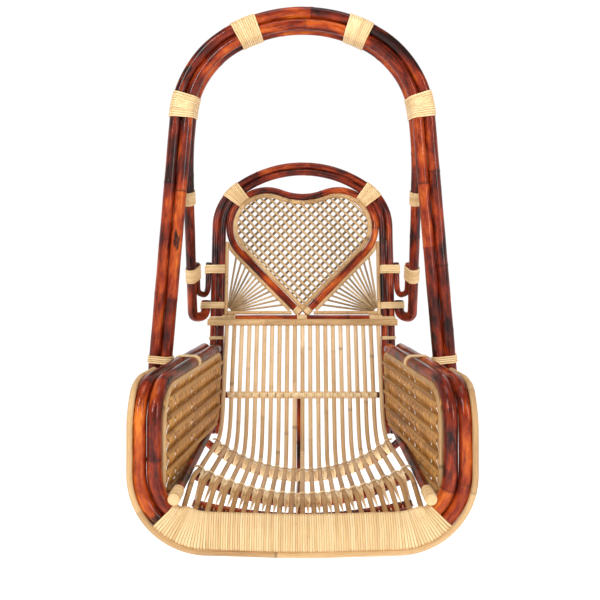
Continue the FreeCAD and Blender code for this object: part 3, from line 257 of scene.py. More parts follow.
def solids(node):
    """Points and triangles of each solid of a CAD node."""
    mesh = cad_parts[node].data
    mesh.calc_loop_triangles()
    points = np.empty(len(mesh.vertices) * 3)
    mesh.vertices.foreach_get("co", points)
    corners = np.empty(len(mesh.loop_triangles) * 3, dtype=np.int32)
    mesh.loop_triangles.foreach_get("vertices", corners)
    points = np.round(points.reshape(-1, 3), WELD_DIGITS)
    points, weld = np.unique(points, axis=0, return_inverse=True)
    triangles = weld.reshape(-1)[corners].reshape(-1, 3)
    label = linked_groups(len(points), triangles)
    found = []
    for group in np.unique(label):
        mine = np.nonzero(label == group)[0]
        fresh = np.zeros(len(points), dtype=int)
        fresh[mine] = np.arange(len(mine))
        found.append((points[mine], fresh[triangles[label[triangles[:, 0]] == group]]))
    return found


def face_normals(points, triangles):
    a, b, c = (points[triangles[:, i]] for i in range(3))
    return unit(np.cross(b - a, c - a))


def flat_ends(points, triangles):
    """Middle, inward direction and half width of the two cut ends of a cane."""
    normals = face_normals(points, triangles)
    edges = np.sort(np.concatenate([triangles[:, pair] for pair in ([0, 1], [1, 2], [2, 0])]), axis=1)
    faces = np.tile(np.arange(len(triangles)), 3)
    order = np.lexsort((edges[:, 1], edges[:, 0]))
    edges, faces = edges[order], faces[order]
    pairs = np.nonzero((edges[1:] == edges[:-1]).all(axis=1))[0]
    bend = (normals[faces[pairs]] * normals[faces[pairs + 1]]).sum(axis=1)
    rims = edges[pairs[bend < math.cos(RIM_ANGLE)]]
    label = linked_groups(len(points), rims)
    labels, counts = np.unique(label[np.unique(rims)], return_counts=True)
    ends = []
    for group in labels[np.argsort(-counts)[:2]]:
        first, second = points[rims[label[rims[:, 0]] == group].T]
        middles = (first + second) / 2
        weight = np.linalg.norm(first - second, axis=1)
        centre = (middles * weight[:, None]).sum(axis=0) / weight.sum()
        inward = np.linalg.svd(middles - centre)[2][2]
        width = np.linalg.norm(middles - centre, axis=1).max()
        near = points[np.linalg.norm(points - centre, axis=1) < NEAR_WIDTHS * width]
        if ((near - centre) @ inward).mean() < 0:
            inward = -inward
        ends.append((centre, inward, width))
    return ends


def split_ends(points, triangles, front):
    """Middle, inward direction and half width of the two cut ends of a split cane with a flat back."""
    normals = face_normals(points, triangles)
    offsets = (points[triangles[:, 0]] * normals).sum(axis=1)
    planes = np.column_stack([np.round(normals, 2), np.round(offsets / MM, 0)])
    height = np.ptp(points @ front)
    found = []
    for plane in np.unique(planes, axis=0):
        normal = unit(plane[:3])
        if abs(normal @ front) > END_LEAN:
            continue
        flat = triangles[(planes == plane).all(axis=1)]
        label = linked_groups(len(points), flat)
        for group in np.unique(label[flat]):
            mine = points[label == group]
            if np.ptp(mine @ front) > END_HEIGHT * height:
                centre = (mine.max(axis=0) + mine.min(axis=0)) / 2
                width = np.linalg.norm(mine - centre, axis=1).max()
                found.append((width, tuple(centre), tuple(-normal)))
    found.sort()
    return [(np.array(centre), np.array(inward), width) for width, centre, inward in found[:2]]


def cut_ring(corners, at, heading, reach):
    """Points in which a plane cuts the triangles near a place."""
    side = (corners - at) @ heading
    cut = (side.min(axis=1) < 0) & (side.max(axis=1) > 0)
    corners, side = corners[cut], side[cut]
    found = []
    for i, j in ((0, 1), (1, 2), (2, 0)):
        through = side[:, i] * side[:, j] < 0
        share = side[through, i] / (side[through, i] - side[through, j])
        found.append(corners[through, i] + (corners[through, j] - corners[through, i]) * share[:, None])
    ring = np.concatenate(found)
    return ring[np.linalg.norm(ring - at, axis=1) < reach]


def round_middle(ring, heading):
    """Centre and radius of the circle through the points of a ring."""
    first = unit(np.cross(heading, (0.3, 0.5, 0.81)))
    second = np.cross(heading, first)
    base = ring.mean(axis=0)
    flat = np.stack([(ring - base) @ first, (ring - base) @ second], axis=1)
    table = np.column_stack([2 * flat, np.ones(len(flat))])
    a, b, c = np.linalg.lstsq(table, (flat ** 2).sum(axis=1), rcond=None)[0]
    return base + first * a + second * b, math.sqrt(c + a * a + b * b)


def split_middle(ring, at, heading, front):
    """Middle of the flat back of a split cane, and half its width."""
    side = unit(np.cross(heading, front))
    away = ring - at
    across = away @ side
    middle = (across.max() + across.min()) / 2
    return at + side * middle + front * (away @ front).min(), (across.max() - across.min()) / 2


class Line:
    """Middle line of a cane, with its radius and, for a split cane, its half width along it."""

    def __init__(self, points, radius, sizes=None):
        self.points = np.asarray(points, dtype=float)
        self.radius = radius
        self.sizes = sizes
        steps = np.linalg.norm(np.diff(self.points, axis=0), axis=1)
        self.lengths = np.concatenate([[0.0], np.cumsum(steps)])
        self.length = self.lengths[-1]

    def at(self, where):
        """Place on the line, which runs straight on past its ends."""
        where = np.atleast_1d(np.asarray(where, dtype=float))
        found = rows_at(where, self.lengths, self.points)
        found += np.maximum(-where, 0)[:, None] * unit(self.points[0] - self.points[1])
        found += np.maximum(where - self.length, 0)[:, None] * unit(self.points[-1] - self.points[-2])
        return found

    def heading(self, where):
        where = np.asarray(where, dtype=float)
        return unit(self.at(where + MARCH_STEP) - self.at(where - MARCH_STEP))

    def nearest(self, places):
        """Length along the line at which it is nearest to each place."""
        start, run = self.points[:-1], np.diff(self.points, axis=0)
        square = np.maximum((run ** 2).sum(axis=1), TINY_SQUARE)
        found = []
        for place in np.atleast_2d(places):
            share = np.clip(((place - start) * run).sum(axis=1) / square, 0, 1)
            best = np.linalg.norm(start + run * share[:, None] - place, axis=1).argmin()
            found.append(self.lengths[best] + share[best] * math.sqrt(square[best]))
        return np.array(found)

    def cuts(self, at, heading):
        """Places in which the line passes through a plane."""
        side = (self.points - at) @ heading
        change = np.nonzero(side[:-1] * side[1:] <= 0)[0]
        share = side[change] / (side[change] - side[change + 1] + TINY_GAP)
        return self.points[change] + (self.points[change + 1] - self.points[change]) * share[:, None]

    def crossing(self, at, heading):
        """Where the line passes through a plane, near a place, and how far it ends short of it."""
        places = self.cuts(at, heading)
        if len(places):
            return places[np.linalg.norm(places - at, axis=1).argmin()], 0.0
        ends = self.points[[0, -1]]
        away = (ends - at) @ heading
        best = np.abs(away).argmin()
        return ends[best] - heading * away[best], abs(away[best])

    def marks(self, step):
        """Even lengths along the line, about a step apart."""
        return np.linspace(0, self.length, max(2, int(round(self.length / step)) + 1))


def middle_line(points, triangles, front=None):
    """Line of a bent cane, found by cutting it across again and again from one end to the other.

    A split cane has a front, and its line is the middle of its flat back.
    """
    split = front is not None
    ends = split_ends(points, triangles, front) if split else flat_ends(points, triangles)
    (start, heading, width), (finish, _, _) = ends
    corners = points[triangles]
    margin = 2 * width if split else MARCH_STEP
    reach = (SPLIT_REACH if split else ROUND_REACH) * width
    line, sizes = [], []
    at = start + heading * margin
    while len(line) < 3 or np.linalg.norm(at - finish) > max(margin, 1.5 * MARCH_STEP):
        ring = cut_ring(corners, at, heading, reach)
        if len(ring) < LEAST_RING:
            break
        centre, size = split_middle(ring, at, heading, front) if split else round_middle(ring, heading)
        if line:
            heading = unit(centre - line[-1])
        if split:
            heading = unit(heading - front * (heading @ front))
        line.append(centre)
        sizes.append(size)
        at = centre + heading * MARCH_STEP
    line = np.array(line)
    smooth(line, SMOOTHING)
    first, last = unit(line[0] - line[1]), unit(line[-1] - line[-2])
    first = line[0] + first * ((start - line[0]) @ first)
    last = line[-1] + last * ((finish - line[-1]) @ last)
    sizes = np.array(sizes[:1] + sizes + sizes[-1:])
    return Line(np.vstack([first, line, last]), float(np.median(sizes)), sizes)


def node_lines(node, order):
    """Lines of the canes of a node, sorted by an order of their first points."""
    return sorted((middle_line(*solid) for solid in solids(node)), key=lambda line: order(line.points[0]))


def straight_line(points, triangles):
    """Line of a straight cane, which has corners at its two ends only."""
    middle = (points.max(axis=0) + points.min(axis=0)) / 2
    run = np.linalg.svd(points - middle, full_matrices=False)[2][0]
    along = (points - middle) @ run
    start, finish = points[along < 0].mean(axis=0), points[along > 0].mean(axis=0)
    run = unit(finish - start)
    away = points - start
    radius = np.linalg.norm(away - np.outer(away @ run, run), axis=1).max()
    return Line([start, finish], float(radius))


# Meshes

class Shape:
    """A mesh that is put together from swept canes and strips."""

    def __init__(self):
        self.points, self.faces, self.grain, self.tone = [], [], [], []
        self.count = 0

    def sweep(self, centres, sides, fronts, section, scale, grain, tone):
        """Sweep a closed section (side, front) along centres, with both ends closed."""
        rings, corners = len(centres), len(section)
        if np.ndim(scale) == 1:
            scale = np.stack([scale, scale], axis=1)
        points = centres[:, None, :] + (
            sides[:, None, :] * (section[None, :, :1] * scale[:, None, :1])
            + fronts[:, None, :] * (section[None, :, 1:] * scale[:, None, 1:])
        )
        for ring in range(rings - 1):
            low = self.count + ring * corners
            high = low + corners
            for corner in range(corners):
                after = (corner + 1) % corners
                self.faces.append((low + corner, low + after, high + after, high + corner))
        last = self.count + (rings - 1) * corners
        self.faces.append(tuple(reversed(range(self.count, self.count + corners))))
        self.faces.append(tuple(range(last, last + corners)))
        self.count += rings * corners
        for store, values in ((self.points, points), (self.grain, grain), (self.tone, tone)):
            store.append(values.reshape(-1, 3))

    def piece(self, name, material, slot, *nodes):
        """Make the object, let it ride on the chair and stand for its CAD nodes."""
        mesh = bpy.data.meshes.new(name)
        mesh.from_pydata(np.concatenate(self.points).tolist(), [], self.faces)
        for label, values in (("grain", self.grain), ("tone", self.tone)):
            layer = mesh.attributes.new(label, "FLOAT_VECTOR", "POINT")
            layer.data.foreach_set("vector", np.concatenate(values).astype(np.float32).ravel())
        mesh.shade_smooth()
        mesh.set_sharp_from_angle(angle=SHARP_ANGLE)
        mesh.materials.append(material)
        mesh.validate()
        made = bpy.data.objects.new(name, mesh)
        bpy.context.scene.collection.objects.link(made)
        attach(made, BODY)
        if nodes:
            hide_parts(*nodes)


def across_start(heading, steep, other):
    """A direction across a heading: toward the rear, or toward another one where it is steep."""
    guess = REAR if abs(heading[1]) < steep else other
    return unit(guess - heading * (guess @ heading))


def turning_frames(centres):
    """Two directions across a line that don't twist along it."""
    along = unit(np.gradient(centres, axis=0))
    side = across_start(along[0], FRAME_STEEP, UP)
    sides = []
    for heading in along:
        side = unit(side - heading * (side @ heading))
        sides.append(side)
    return np.array(sides), np.cross(along, sides)


def arc_section(count, angle):
    """Points of a circle of radius one, an angle apart."""
    angles = np.arange(count) * angle
    return np.stack([np.cos(angles), np.sin(angles)], axis=1)


def circle_section(sides):
    return arc_section(sides, 2 * math.pi / sides)


def strip_section():
    """Split peel with a crowned outside: half width one, thickness one."""
    half = [(1.0, 0.0), (0.97, 0.62), (0.78, 0.90)]
    return np.array(half + [(0.0, 1.0)] + [(-side, out) for side, out in half[::-1]] + [(0.0, -0.08)])


def grain_places(section, half, height, lengths):
    """Place of each point in its own wood: across, outward and along, from a random start."""
    grain = np.empty((len(lengths), len(section), 3))
    grain[:, :, 0] = section[None, :, 0] * np.reshape(half, (-1, 1))
    grain[:, :, 1] = section[None, :, 1] * height
    grain[:, :, 2] = lengths[:, None] + RNG.uniform(0, GRAIN_SPAN)
    return grain


def cane_profile(lengths, spacing, warmth=None):
    """Radius share and tone of a cane along its length: joints, swellings and a tone between joints."""
    joints = [RNG.uniform(0.1, 1.0) * spacing[0]]
    while joints[-1] < lengths[-1]:
        joints.append(joints[-1] + RNG.uniform(*spacing))
    joints = np.array(joints)
    gap = np.abs(lengths[:, None] - joints[None, :]).min(axis=1)
    shares = 1 + JOINT_RISE * np.exp(-((gap / JOINT_WIDTH) ** 2))
    shares += SWELL * np.sin(2 * math.pi * (lengths / SWELL_LENGTH + RNG.random()))
    stretch_tone = NOISE.random(len(joints) + 1)[np.searchsorted(joints, lengths)]
    line = np.exp(-((gap / JOINT_LINE) ** 2))
    # The third tone value: a random one, unless the stain's warmth or a painted shade is given.
    shade = RNG.random() if warmth is None else warmth
    tone = np.stack([stretch_tone, line, np.full(len(lengths), 1.0) * shade], axis=1)
    return shares + SWELL, tone


def add_cane(shape, line, sides=CANE_SIDES, joints=DARK_JOINTS, step=MARCH_STEP, warmth=None):
    """A round cane with its joints along a line. The third tone value is a number, or gives one for each
    place: the warmth of the stain on dark canes, painted shade on the slats and the lattice layers.
    """
    rounding = min(END_ROUNDING * line.radius, line.length / 10)
    ends = [0, rounding], [line.length - rounding, line.length]
    lengths = np.concatenate([ends[0], line.marks(step)[1:-1], ends[1]])
    centres = line.at(lengths)
    shares, tone = cane_profile(lengths, joints, warmth(centres) if callable(warmth) else warmth)
    shares[[0, -1]] *= END_WIDTH
    section = circle_section(sides)
    grain = grain_places(section, line.radius, line.radius, lengths)
    tones = np.repeat(tone[:, None, :], sides, axis=1)
    shape.sweep(centres, *turning_frames(centres), section, shares * line.radius, grain, tones)


def add_split(shape, line, front, height):
    """A split cane with its round side to the front."""
    lengths = line.marks(MARCH_STEP * 2)
    centres = line.at(lengths)
    along = unit(np.gradient(centres, axis=0))
    fronts = np.tile(front, (len(centres), 1))
    across = unit(np.cross(fronts, along))
    section = arc_section(SPLIT_SIDES + 1, math.pi / SPLIT_SIDES)
    shares, tone = cane_profile(lengths, SPLIT_JOINTS)
    half = np.interp(lengths, line.lengths, line.sizes) * shares
    scale = np.stack([half, height * shares], axis=1)
    grain = grain_places(section, half, height, lengths)
    tones = np.repeat(tone[:, None, :], len(section), axis=1)
    shape.sweep(centres, across, fronts, section, scale, grain, tones)


def add_strip(shape, path, outward, across, width, thickness, turn):
    """A length of peel along a path, with its crowned side outward; turn counts its turns."""
    section = strip_section()
    lengths = np.concatenate([[0], np.cumsum(np.linalg.norm(np.diff(path, axis=0), axis=1))])
    half = np.broadcast_to(np.asarray(width, dtype=float) / 2, (len(path),))
    thin = np.ones(len(path))
    thin[[0, -1]] = THIN_END
    grain = grain_places(section, half, thickness, lengths)
    tone = np.empty(grain.shape)
    tone[:, :, 0] = NOISE.random(int(turn.max()) + 2)[turn.astype(int)][:, None]
    tone[:, :, 1] = np.abs(section[None, :, 0])
    tone[:, :, 2] = RNG.random()
    scale = np.stack([half, thickness * thin], axis=1)
    shape.sweep(path, across, outward, section, scale, grain, tone)


# Windings

def bundle_circles(canes, taper=None):
    """Function that gives the circles (a, b, radius) of a bundle of canes in a section."""
    def circles(at, heading, first, second):
        found = []
        for cane in canes:
            place, short = cane.crossing(at, heading)
            share = ease(1 - short / taper) if taper else 1.0
            found.append((((place - at) @ first) * share, ((place - at) @ second) * share, cane.radius))
        return found
    return circles


def add_winding(shape, cane, circles, low, high, turns, thickness, points=TURN_POINTS, fill=PEEL_FILL):
    """Peel wound turn by turn round what the circles say, from low to high along a cane."""
    total = turns * points + 1
    steps = np.arange(total)
    pitch = (high - low) / turns
    where = low + pitch / 2 + (high - low - pitch) * steps / (total - 1)
    headings = cane.heading(where)
    path, outward = [], []
    for at, heading, step in zip(cane.at(where), headings, steps):
        first = across_start(heading, WIND_STEEP, RIGHT)
        second = np.cross(heading, first)
        angle = 2 * math.pi * step / points
        x, y = math.cos(angle), math.sin(angle)
        a, b, radius = max(circles(at, heading, first, second), key=lambda c: c[0] * x + c[1] * y + c[2])
        out = first * x + second * y
        path.append(at + first * a + second * b + out * radius)
        outward.append(out)
    path = np.array(path)
    room = np.linalg.norm(path[points:] - path[:-points], axis=1)
    room = np.concatenate([room, np.full(total - len(room), room[-1])])
    add_strip(shape, path, np.array(outward), headings, room * fill, thickness, steps // points)


def span_on(line, points):
    """First and last length along a line between which points lie."""
    where = line.nearest(points[:: max(1, len(points) // SPAN_SAMPLES)])
    return where.min(), where.max()


def wind(node, groups, thickness, sleeve=None, fill=PEEL_FILL):
    """Replace each winding of a CAD node by peel.

    groups gives the canes inside, turns and growth; a sleeve is the radius of one that hides them.
    """
    shape = Shape()
    for points, _ in solids(node):
        middle = points.mean(axis=0)
        side = "left" if middle[0] < 0 else "right"
        choices = []
        for names, turns, grow in groups:
            canes = [lines[name.format(side=side)] for name in names]
            hubs = [cane.at(cane.nearest(middle))[0] for cane in canes]
            choices.append((np.linalg.norm(np.mean(hubs, axis=0) - middle), turns, grow, canes))
        _, turns, grow, canes = min(choices, key=lambda choice: choice[0])
        low, high = span_on(canes[0], points) + np.array((-grow, grow))
        if sleeve:
            canes = [Line(canes[0].at([low - sleeve, high + sleeve]), sleeve)]
            low, high = span_on(canes[0], points)
        add_winding(shape, canes[0], bundle_circles(canes), low, high, turns, thickness, fill=fill)
    shape.piece(node + "_peel", PEEL, "peel", node)


# Materials

MIX_FIRST, MIX_SECOND, MIX_RESULT = 6, 7, 2


class Nodes:
    """Nodes of a material or world."""

    def __init__(self, owner):
        owner.use_nodes = True
        self.tree = owner.node_tree

    def put(self, value, socket):
        """Link an output to an input, or set the input to a constant."""
        if isinstance(value, bpy.types.NodeSocket):
            self.tree.links.new(value, socket)
        else:
            socket.default_value = value

    def add(self, kind, inputs=None, **settings):
        node = self.tree.nodes.new(kind)
        for label, value in settings.items():
            setattr(node, label, value)
        for label, value in (inputs or {}).items():
            self.put(value, node.inputs[label])
        return node

    def split(self, vector):
        return self.add("ShaderNodeSeparateXYZ", {"Vector": vector}).outputs

    def math(self, operation, *values, clamp=False):
        inputs = dict(enumerate(values))
        return self.add("ShaderNodeMath", inputs, operation=operation, use_clamp=clamp).outputs[0]

    def band(self, value, low, high, least=0.0, most=1.0):
        """Smooth step of a value from low to high."""
        inputs = {"Value": value, "From Min": low, "From Max": high, "To Min": least, "To Max": most}
        return self.add("ShaderNodeMapRange", inputs, interpolation_type="SMOOTHSTEP").outputs["Result"]


class Look(Nodes):
    """A procedural material. Constants go straight to the shader."""

    def __init__(self, name, **constants):
        self.material = bpy.data.materials.new(name)
        super().__init__(self.material)
        self.shader = self.tree.nodes["Principled BSDF"]
        for label, value in constants.items():
            self.set(label.replace("_", " ").title().replace("Ior", "IOR"), value)

    def set(self, label, value):
        self.put(value, self.shader.inputs[label])

    def wood(self):
        """Place in the wood's own grain, and the three values of its tone."""
        nodes = [self.add("ShaderNodeAttribute", attribute_name=name) for name in ("grain", "tone")]
        grain, tone = (node.outputs["Vector"] for node in nodes)
        return grain, self.split(tone)

    def noise(self, vector, stretch, detail=4.0, roughness=0.55):
        """Noise of mean one half in stretched coordinates."""
        moved = self.add("ShaderNodeVectorMath", {0: vector, 1: stretch}, operation="MULTIPLY").outputs[0]
        inputs = {"Vector": moved, "Scale": 1.0, "Detail": detail, "Roughness": roughness}
        return self.add("ShaderNodeTexNoise", inputs).outputs["Fac"]

    def total(self, start, *terms):
        """Sum of weighted values and a start, held between nought and one."""
        for value, weight in terms:
            start = self.math("MULTIPLY_ADD", value, weight, start)
        return self.math("ADD", start, 0.0, clamp=True)

    def ramp(self, value, *stops):
        node = self.add("ShaderNodeValToRGB", {"Fac": value})
        elements = node.color_ramp.elements
        while len(elements) < len(stops):
            elements.new(0.5)
        for element, (place, colour) in zip(elements, stops):
            element.position = place
            element.color = colour + (1.0,)
        return node.outputs["Color"]

    def stain(self, colour, mask, share, other):
        """A colour with a share of another one laid over it where the mask is one."""
        factor = self.math("MULTIPLY", mask, share)
        inputs = {0: factor, MIX_FIRST: colour, MIX_SECOND: other + (1.0,)}
        return self.add("ShaderNodeMix", inputs, data_type="RGBA").outputs[MIX_RESULT]

    def surface(self, colour, streaks, rough_share, roughness, height, strength, distance):
        """Set the colour, a roughness that follows the streaks, and the bump. Returns the bump."""
        self.set("Base Color", colour)
        self.set("Roughness", self.math("MULTIPLY_ADD", streaks, rough_share, roughness))
        inputs = {"Height": height, "Strength": strength, "Distance": distance}
        bump = self.add("ShaderNodeBump", inputs).outputs["Normal"]
        self.set("Normal", bump)
        return bump


def stained_cane():
    """Scorched and lacquered cane: mahogany with orange and black patches."""
    look = Look("stained_cane", coat_weight=0.42, coat_roughness=0.05, coat_ior=1.4, specular_ior_level=0.1)
    grain, (stretch, joint, warmth) = look.wood()
    patches = look.noise(grain, (38.0, 38.0, 13.0), 4.0, 0.6)
    streaks = look.noise(grain, (320.0, 320.0, 8.0), 5.0, 0.65)
    scorch = look.noise(grain, (34.0, 34.0, 10.0), 4.0, 0.65)
    level = look.total(-1.305, (patches, 2.1), (stretch, 0.30), (warmth, 0.45), (streaks, 0.5))
    colour = look.ramp(
        level,
        (0.0, (0.016, 0.004, 0.003)),
        (0.20, (0.080, 0.009, 0.004)),
        (0.42, (0.21, 0.020, 0.005)),
        (0.60, (0.36, 0.046, 0.006)),
        (0.82, (0.52, 0.098, 0.010)),
        (1.0, (0.72, 0.18, 0.022)),
    )
    strokes = look.band(look.noise(grain, (210.0, 210.0, 24.0), 3.0, 0.6), 0.59, 0.66)
    colour = look.stain(colour, strokes, 0.6, (0.022, 0.005, 0.003))
    colour = look.stain(colour, look.band(scorch, 0.61, 0.68), 0.92, (0.009, 0.004, 0.003))
    specks = look.band(look.noise(grain, (420.0, 420.0, 150.0), 2.0, 0.5), 0.68, 0.74)
    colour = look.stain(colour, specks, 0.7, (0.012, 0.004, 0.003))
    colour = look.stain(colour, joint, 0.75, (0.014, 0.004, 0.003))
    height = look.math("MULTIPLY_ADD", scorch, 0.8, streaks)
    look.set("Coat Normal", look.surface(colour, streaks, 0.18, 0.24, height, 0.22, 0.0006))
    return look.material


def pale_cane(name, roughness, light, middle, dark, fleck, joint_share=0.8, tint=None):
    """Natural cane with fine streaks, flecks and dark joints; tint colours canes of a high third tone value,
    which is random on most canes and painted shade on the slats and the rear lattice layer.
    """
    look = Look(name, coat_weight=0.12, coat_roughness=0.3, specular_ior_level=0.4)
    grain, (stretch, joint, shade) = look.wood()
    streaks = look.noise(grain, (650.0, 650.0, 16.0), 5.0, 0.65)
    clouds = look.noise(grain, (40.0, 40.0, 9.0), 3.0, 0.6)
    # A high third tone value also darkens the cane: a random tone, and painted shade on the slats and
    # lattice.
    level = look.total(-0.11, (streaks, 0.75), (clouds, 0.38), (shade, -0.22), (stretch, 0.26))
    colour = look.ramp(level, (0.18, dark), (0.5, middle), (0.82, light))
    if tint:
        colour = look.stain(colour, shade, 0.62, tint)
    flecks = look.band(look.noise(grain, (500.0, 500.0, 170.0), 2.0, 0.5), 0.70, 0.77)
    colour = look.stain(colour, flecks, 0.7, fleck)
    colour = look.stain(colour, joint, joint_share, fleck)
    look.surface(colour, streaks, 0.2, roughness, streaks, 0.3, 0.0005)
    return look.material


def peel_material(name, light, middle, dark):
    """Split peel: each turn has its own shade, with fibres along it and shade at its edges."""
    look = Look(name, coat_weight=0.15, coat_roughness=0.3, specular_ior_level=0.4)
    grain, (turn, side, _) = look.wood()
    fibres = look.noise(grain, (1400.0, 300.0, 22.0), 4.0, 0.6)
    clouds = look.noise(grain, (120.0, 60.0, 24.0), 3.0, 0.6)
    level = look.total(-0.14, (fibres, 0.6), (clouds, 0.4), (turn, 0.3))
    colour = look.ramp(level, (0.2, dark), (0.5, middle), (0.85, light))
    colour = look.stain(colour, look.band(side, 0.75, 1.0), 0.55, (0.30, 0.15, 0.05))
    spots = look.band(look.noise(grain, (260.0, 260.0, 170.0), 1.0, 0.5), 0.74, 0.80)
    colour = look.stain(colour, spots, 0.6, (0.24, 0.10, 0.04))
    look.surface(colour, fibres, 0.2, 0.34, fibres, 0.35, 0.0004)
    return look.material


def nail_material():
    look = Look("nail_heads", metallic=0.6, roughness=0.55)
    rust = look.noise(look.add("ShaderNodeTexCoord").outputs["Object"], (900.0, 900.0, 900.0))
    look.set("Base Color", look.ramp(rust, (0.3, (0.03, 0.018, 0.012)), (0.7, (0.10, 0.055, 0.03))))
    return look.material


STAINED = stained_cane()
NATURAL = pale_cane(
    "natural_cane", 0.34, light=(0.77, 0.53, 0.27), middle=(0.60, 0.365, 0.16),
    dark=(0.33, 0.165, 0.058), fleck=(0.07, 0.025, 0.009),
)
# The lattice's tint lays painted shade on the rear layer; on the fan rays it falls at random.
LATTICE = pale_cane(
    "lattice_cane", 0.38, light=(0.78, 0.56, 0.32), middle=(0.58, 0.385, 0.185),
    dark=(0.30, 0.17, 0.068), fleck=(0.07, 0.025, 0.01), joint_share=0.3, tint=(0.19, 0.10, 0.04),
)
# The slats' tint is painted shade, laid on toward the front of the seat.
SLAT = pale_cane(
    "slat_cane", 0.36, light=(0.84, 0.61, 0.36), middle=(0.64, 0.41, 0.20),
    dark=(0.29, 0.15, 0.052), fleck=(0.05, 0.02, 0.008), joint_share=0.5, tint=(0.40, 0.19, 0.05),
)
ROD = pale_cane(
    "rod_cane", 0.42, light=(0.62, 0.35, 0.11), middle=(0.45, 0.215, 0.052),
    dark=(0.18, 0.075, 0.016), fleck=(0.03, 0.012, 0.005), joint_share=0.5,
)
PEEL = peel_material("peel", (0.89, 0.665, 0.38), (0.78, 0.53, 0.255), (0.54, 0.31, 0.12))
# A paler copy of the peel for the seat's lashings: painted light, as they stand lit above the shaded slats.
LIT_SEAT_PEEL = peel_material("lit_seat_peel", (0.98, 0.80, 0.52), (0.93, 0.69, 0.38), (0.68, 0.43, 0.18))
STRIP = peel_material("panel_strip", (0.82, 0.46, 0.13), (0.64, 0.30, 0.06), (0.30, 0.11, 0.02))
NAIL = nail_material()


# Lines of all canes, from the frame

def draw_in(line, other):
    """Move a line up to another one, so that the two canes touch where they run side by side."""
    away = line.points - other.at(other.nearest(line.points))
    gap = np.linalg.norm(away, axis=1) - line.radius - other.radius - TRIM_ROOM
    move = np.where(gap < TRIM_PULL, np.maximum(gap, 0), 0.0)
    smooth(move, TRIM_SMOOTHING)
    line.points -= unit(away) * move[:, None]


def spread_share(y):
    """How much wider apart the slats run at a place between the front cross cane and the roll."""
    return 1 + SLAT_SPREAD * np.clip((y - SPREAD_FROM) / (SPREAD_TO - SPREAD_FROM), 0, 1)


def follow(line, guide):
    """The trim with both ends led on along the arm's cane, up to the arch."""
    points = line.points[line.points[:, 1] < TRIM_FOLLOW]
    ends = []
    for end, inner in ((points[0], points[3]), (points[-1], points[-4])):
        start = guide.nearest(end)[0]
        way = 1.0 if guide.heading(start)[0] @ (end - inner) > 0 else -1.0
        away = end - guide.at(start)[0]
        room = np.linalg.norm(away)
        led = []
        while not led or led[-1][1] < TRIM_END:
            start += way * MARCH_STEP
            heading = guide.heading(start)[0]
            away = unit(away - heading * (away @ heading)) * room
            led.append(guide.at(start)[0] + away)
        ends.append(np.array(led))
    return Line(np.vstack([ends[0][::-1], points, ends[1]]), line.radius)


def lift_panel(points):
    """Stretch part of a side panel, so that its top border meets the arm and its foot the side rail."""
    (_, front, low), (_, rear, high) = panel_box
    rise = (points[:, 2] - low) / (high - low)
    back = (points[:, 1] - front) / (rear - front)
    drop = PANEL_DROP_FRONT + (PANEL_DROP_REAR - PANEL_DROP_FRONT) * back
    points[:, 2] += PANEL_LIFT * rise - drop * (1 - rise)


def beyond(points, length):
    """Place that lies a length past the last of a row of points."""
    return points[-1] + unit(points[-1] - points[-2]) * length


def carried_both(line, length):
    """The line with both ends carried on."""
    points = np.vstack([beyond(line.points[::-1], length), line.points, beyond(line.points, length)])
    return Line(points, line.radius, np.pad(line.sizes, 1, mode="edge"))


def carried_on(line, length):
    """The line with its front end carried on."""
    points = line.points if line.points[0][1] > line.points[-1][1] else line.points[::-1]
    return Line(np.vstack([points, beyond(points, length)]), line.radius)


def arm_warmth(low, high):
    """Warmth of an arm's cane: one value low on its front, and one higher up on the arm."""
    return lambda places: np.interp(places[:, 2], ARM_WARM_HEIGHTS, (low, high))


DARK_NODES = (
    "arch_outer_cane", "arch_inner_cane", "arch_rear_cane", "left_hanger_leg", "right_hanger_leg",
    "left_brace_hook", "right_brace_hook", "back_hoop_outer_cane", "back_hoop_inner_cane",
    "heart_frame_cane", "arm_loop_inner_cane", "arm_loop_outer_cane", "middle_cross_cane",
    "front_cross_cane", "seat_spine_cane", "back_cross_cane", "back_cross_rail", "left_side_rail",
    "right_side_rail",
)
WARM_NODES = {
    "arm_loop_inner_cane": arm_warmth(0.72, 0.5), "arm_loop_outer_cane": arm_warmth(0.92, 0.55),
    "heart_frame_cane": 0.75, "back_cross_rail": 0.85,
    "arch_inner_cane": 0.5, "arch_outer_cane": 0.4, "arch_rear_cane": 0.4,
}
PALE_NODES = ("outer_trim_cane", "left_panel_border", "right_panel_border", "roll_top_cane")

# Points that are moved in place keep the lengths that were read from the solid.
lines = {node: middle_line(*solids(node)[0]) for node in DARK_NODES + PALE_NODES}
panel_box = np.array([reach(lines["left_panel_border"].points, axis=0) for reach in (np.min, np.max)])
for node in ("middle_cross_cane", "front_cross_cane"):
    lines[node].points[:, 2] -= CROSS_GROWTH
    lines[node].radius += CROSS_GROWTH
lines["heart_frame_cane"] = carried_both(lines["heart_frame_cane"], HEART_CARRY)
draw_in(lines["outer_trim_cane"], lines["arm_loop_outer_cane"])
lines["outer_trim_cane"] = follow(lines["outer_trim_cane"], lines["arm_loop_outer_cane"])
for side in ("left", "right"):
    lines[side + "_side_rail"] = carried_on(lines[side + "_side_rail"], RAIL_CARRY)
    lift_panel(lines[side + "_panel_border"].points)
slat_lines = node_lines("seat_slats", lambda place: place[0])
for line in slat_lines:
    line.radius += SLAT_GROWTH
    line.points[:, 0] *= spread_share(line.points[:, 1])
under_lines = node_lines("front_under_canes", lambda place: -place[1])
for line in under_lines:
    line.points[:, 1] += UNDER_SHIFT
    if line.points[0][0] > 0:
        line.points = line.points[::-1].copy()
split_lines = {}

post_heading = lines["back_hoop_outer_cane"].heading(0.05)[0]
BACK_UP = post_heading * math.copysign(1, post_heading[2])
BACK_FRONT = unit(np.cross(RIGHT, BACK_UP))


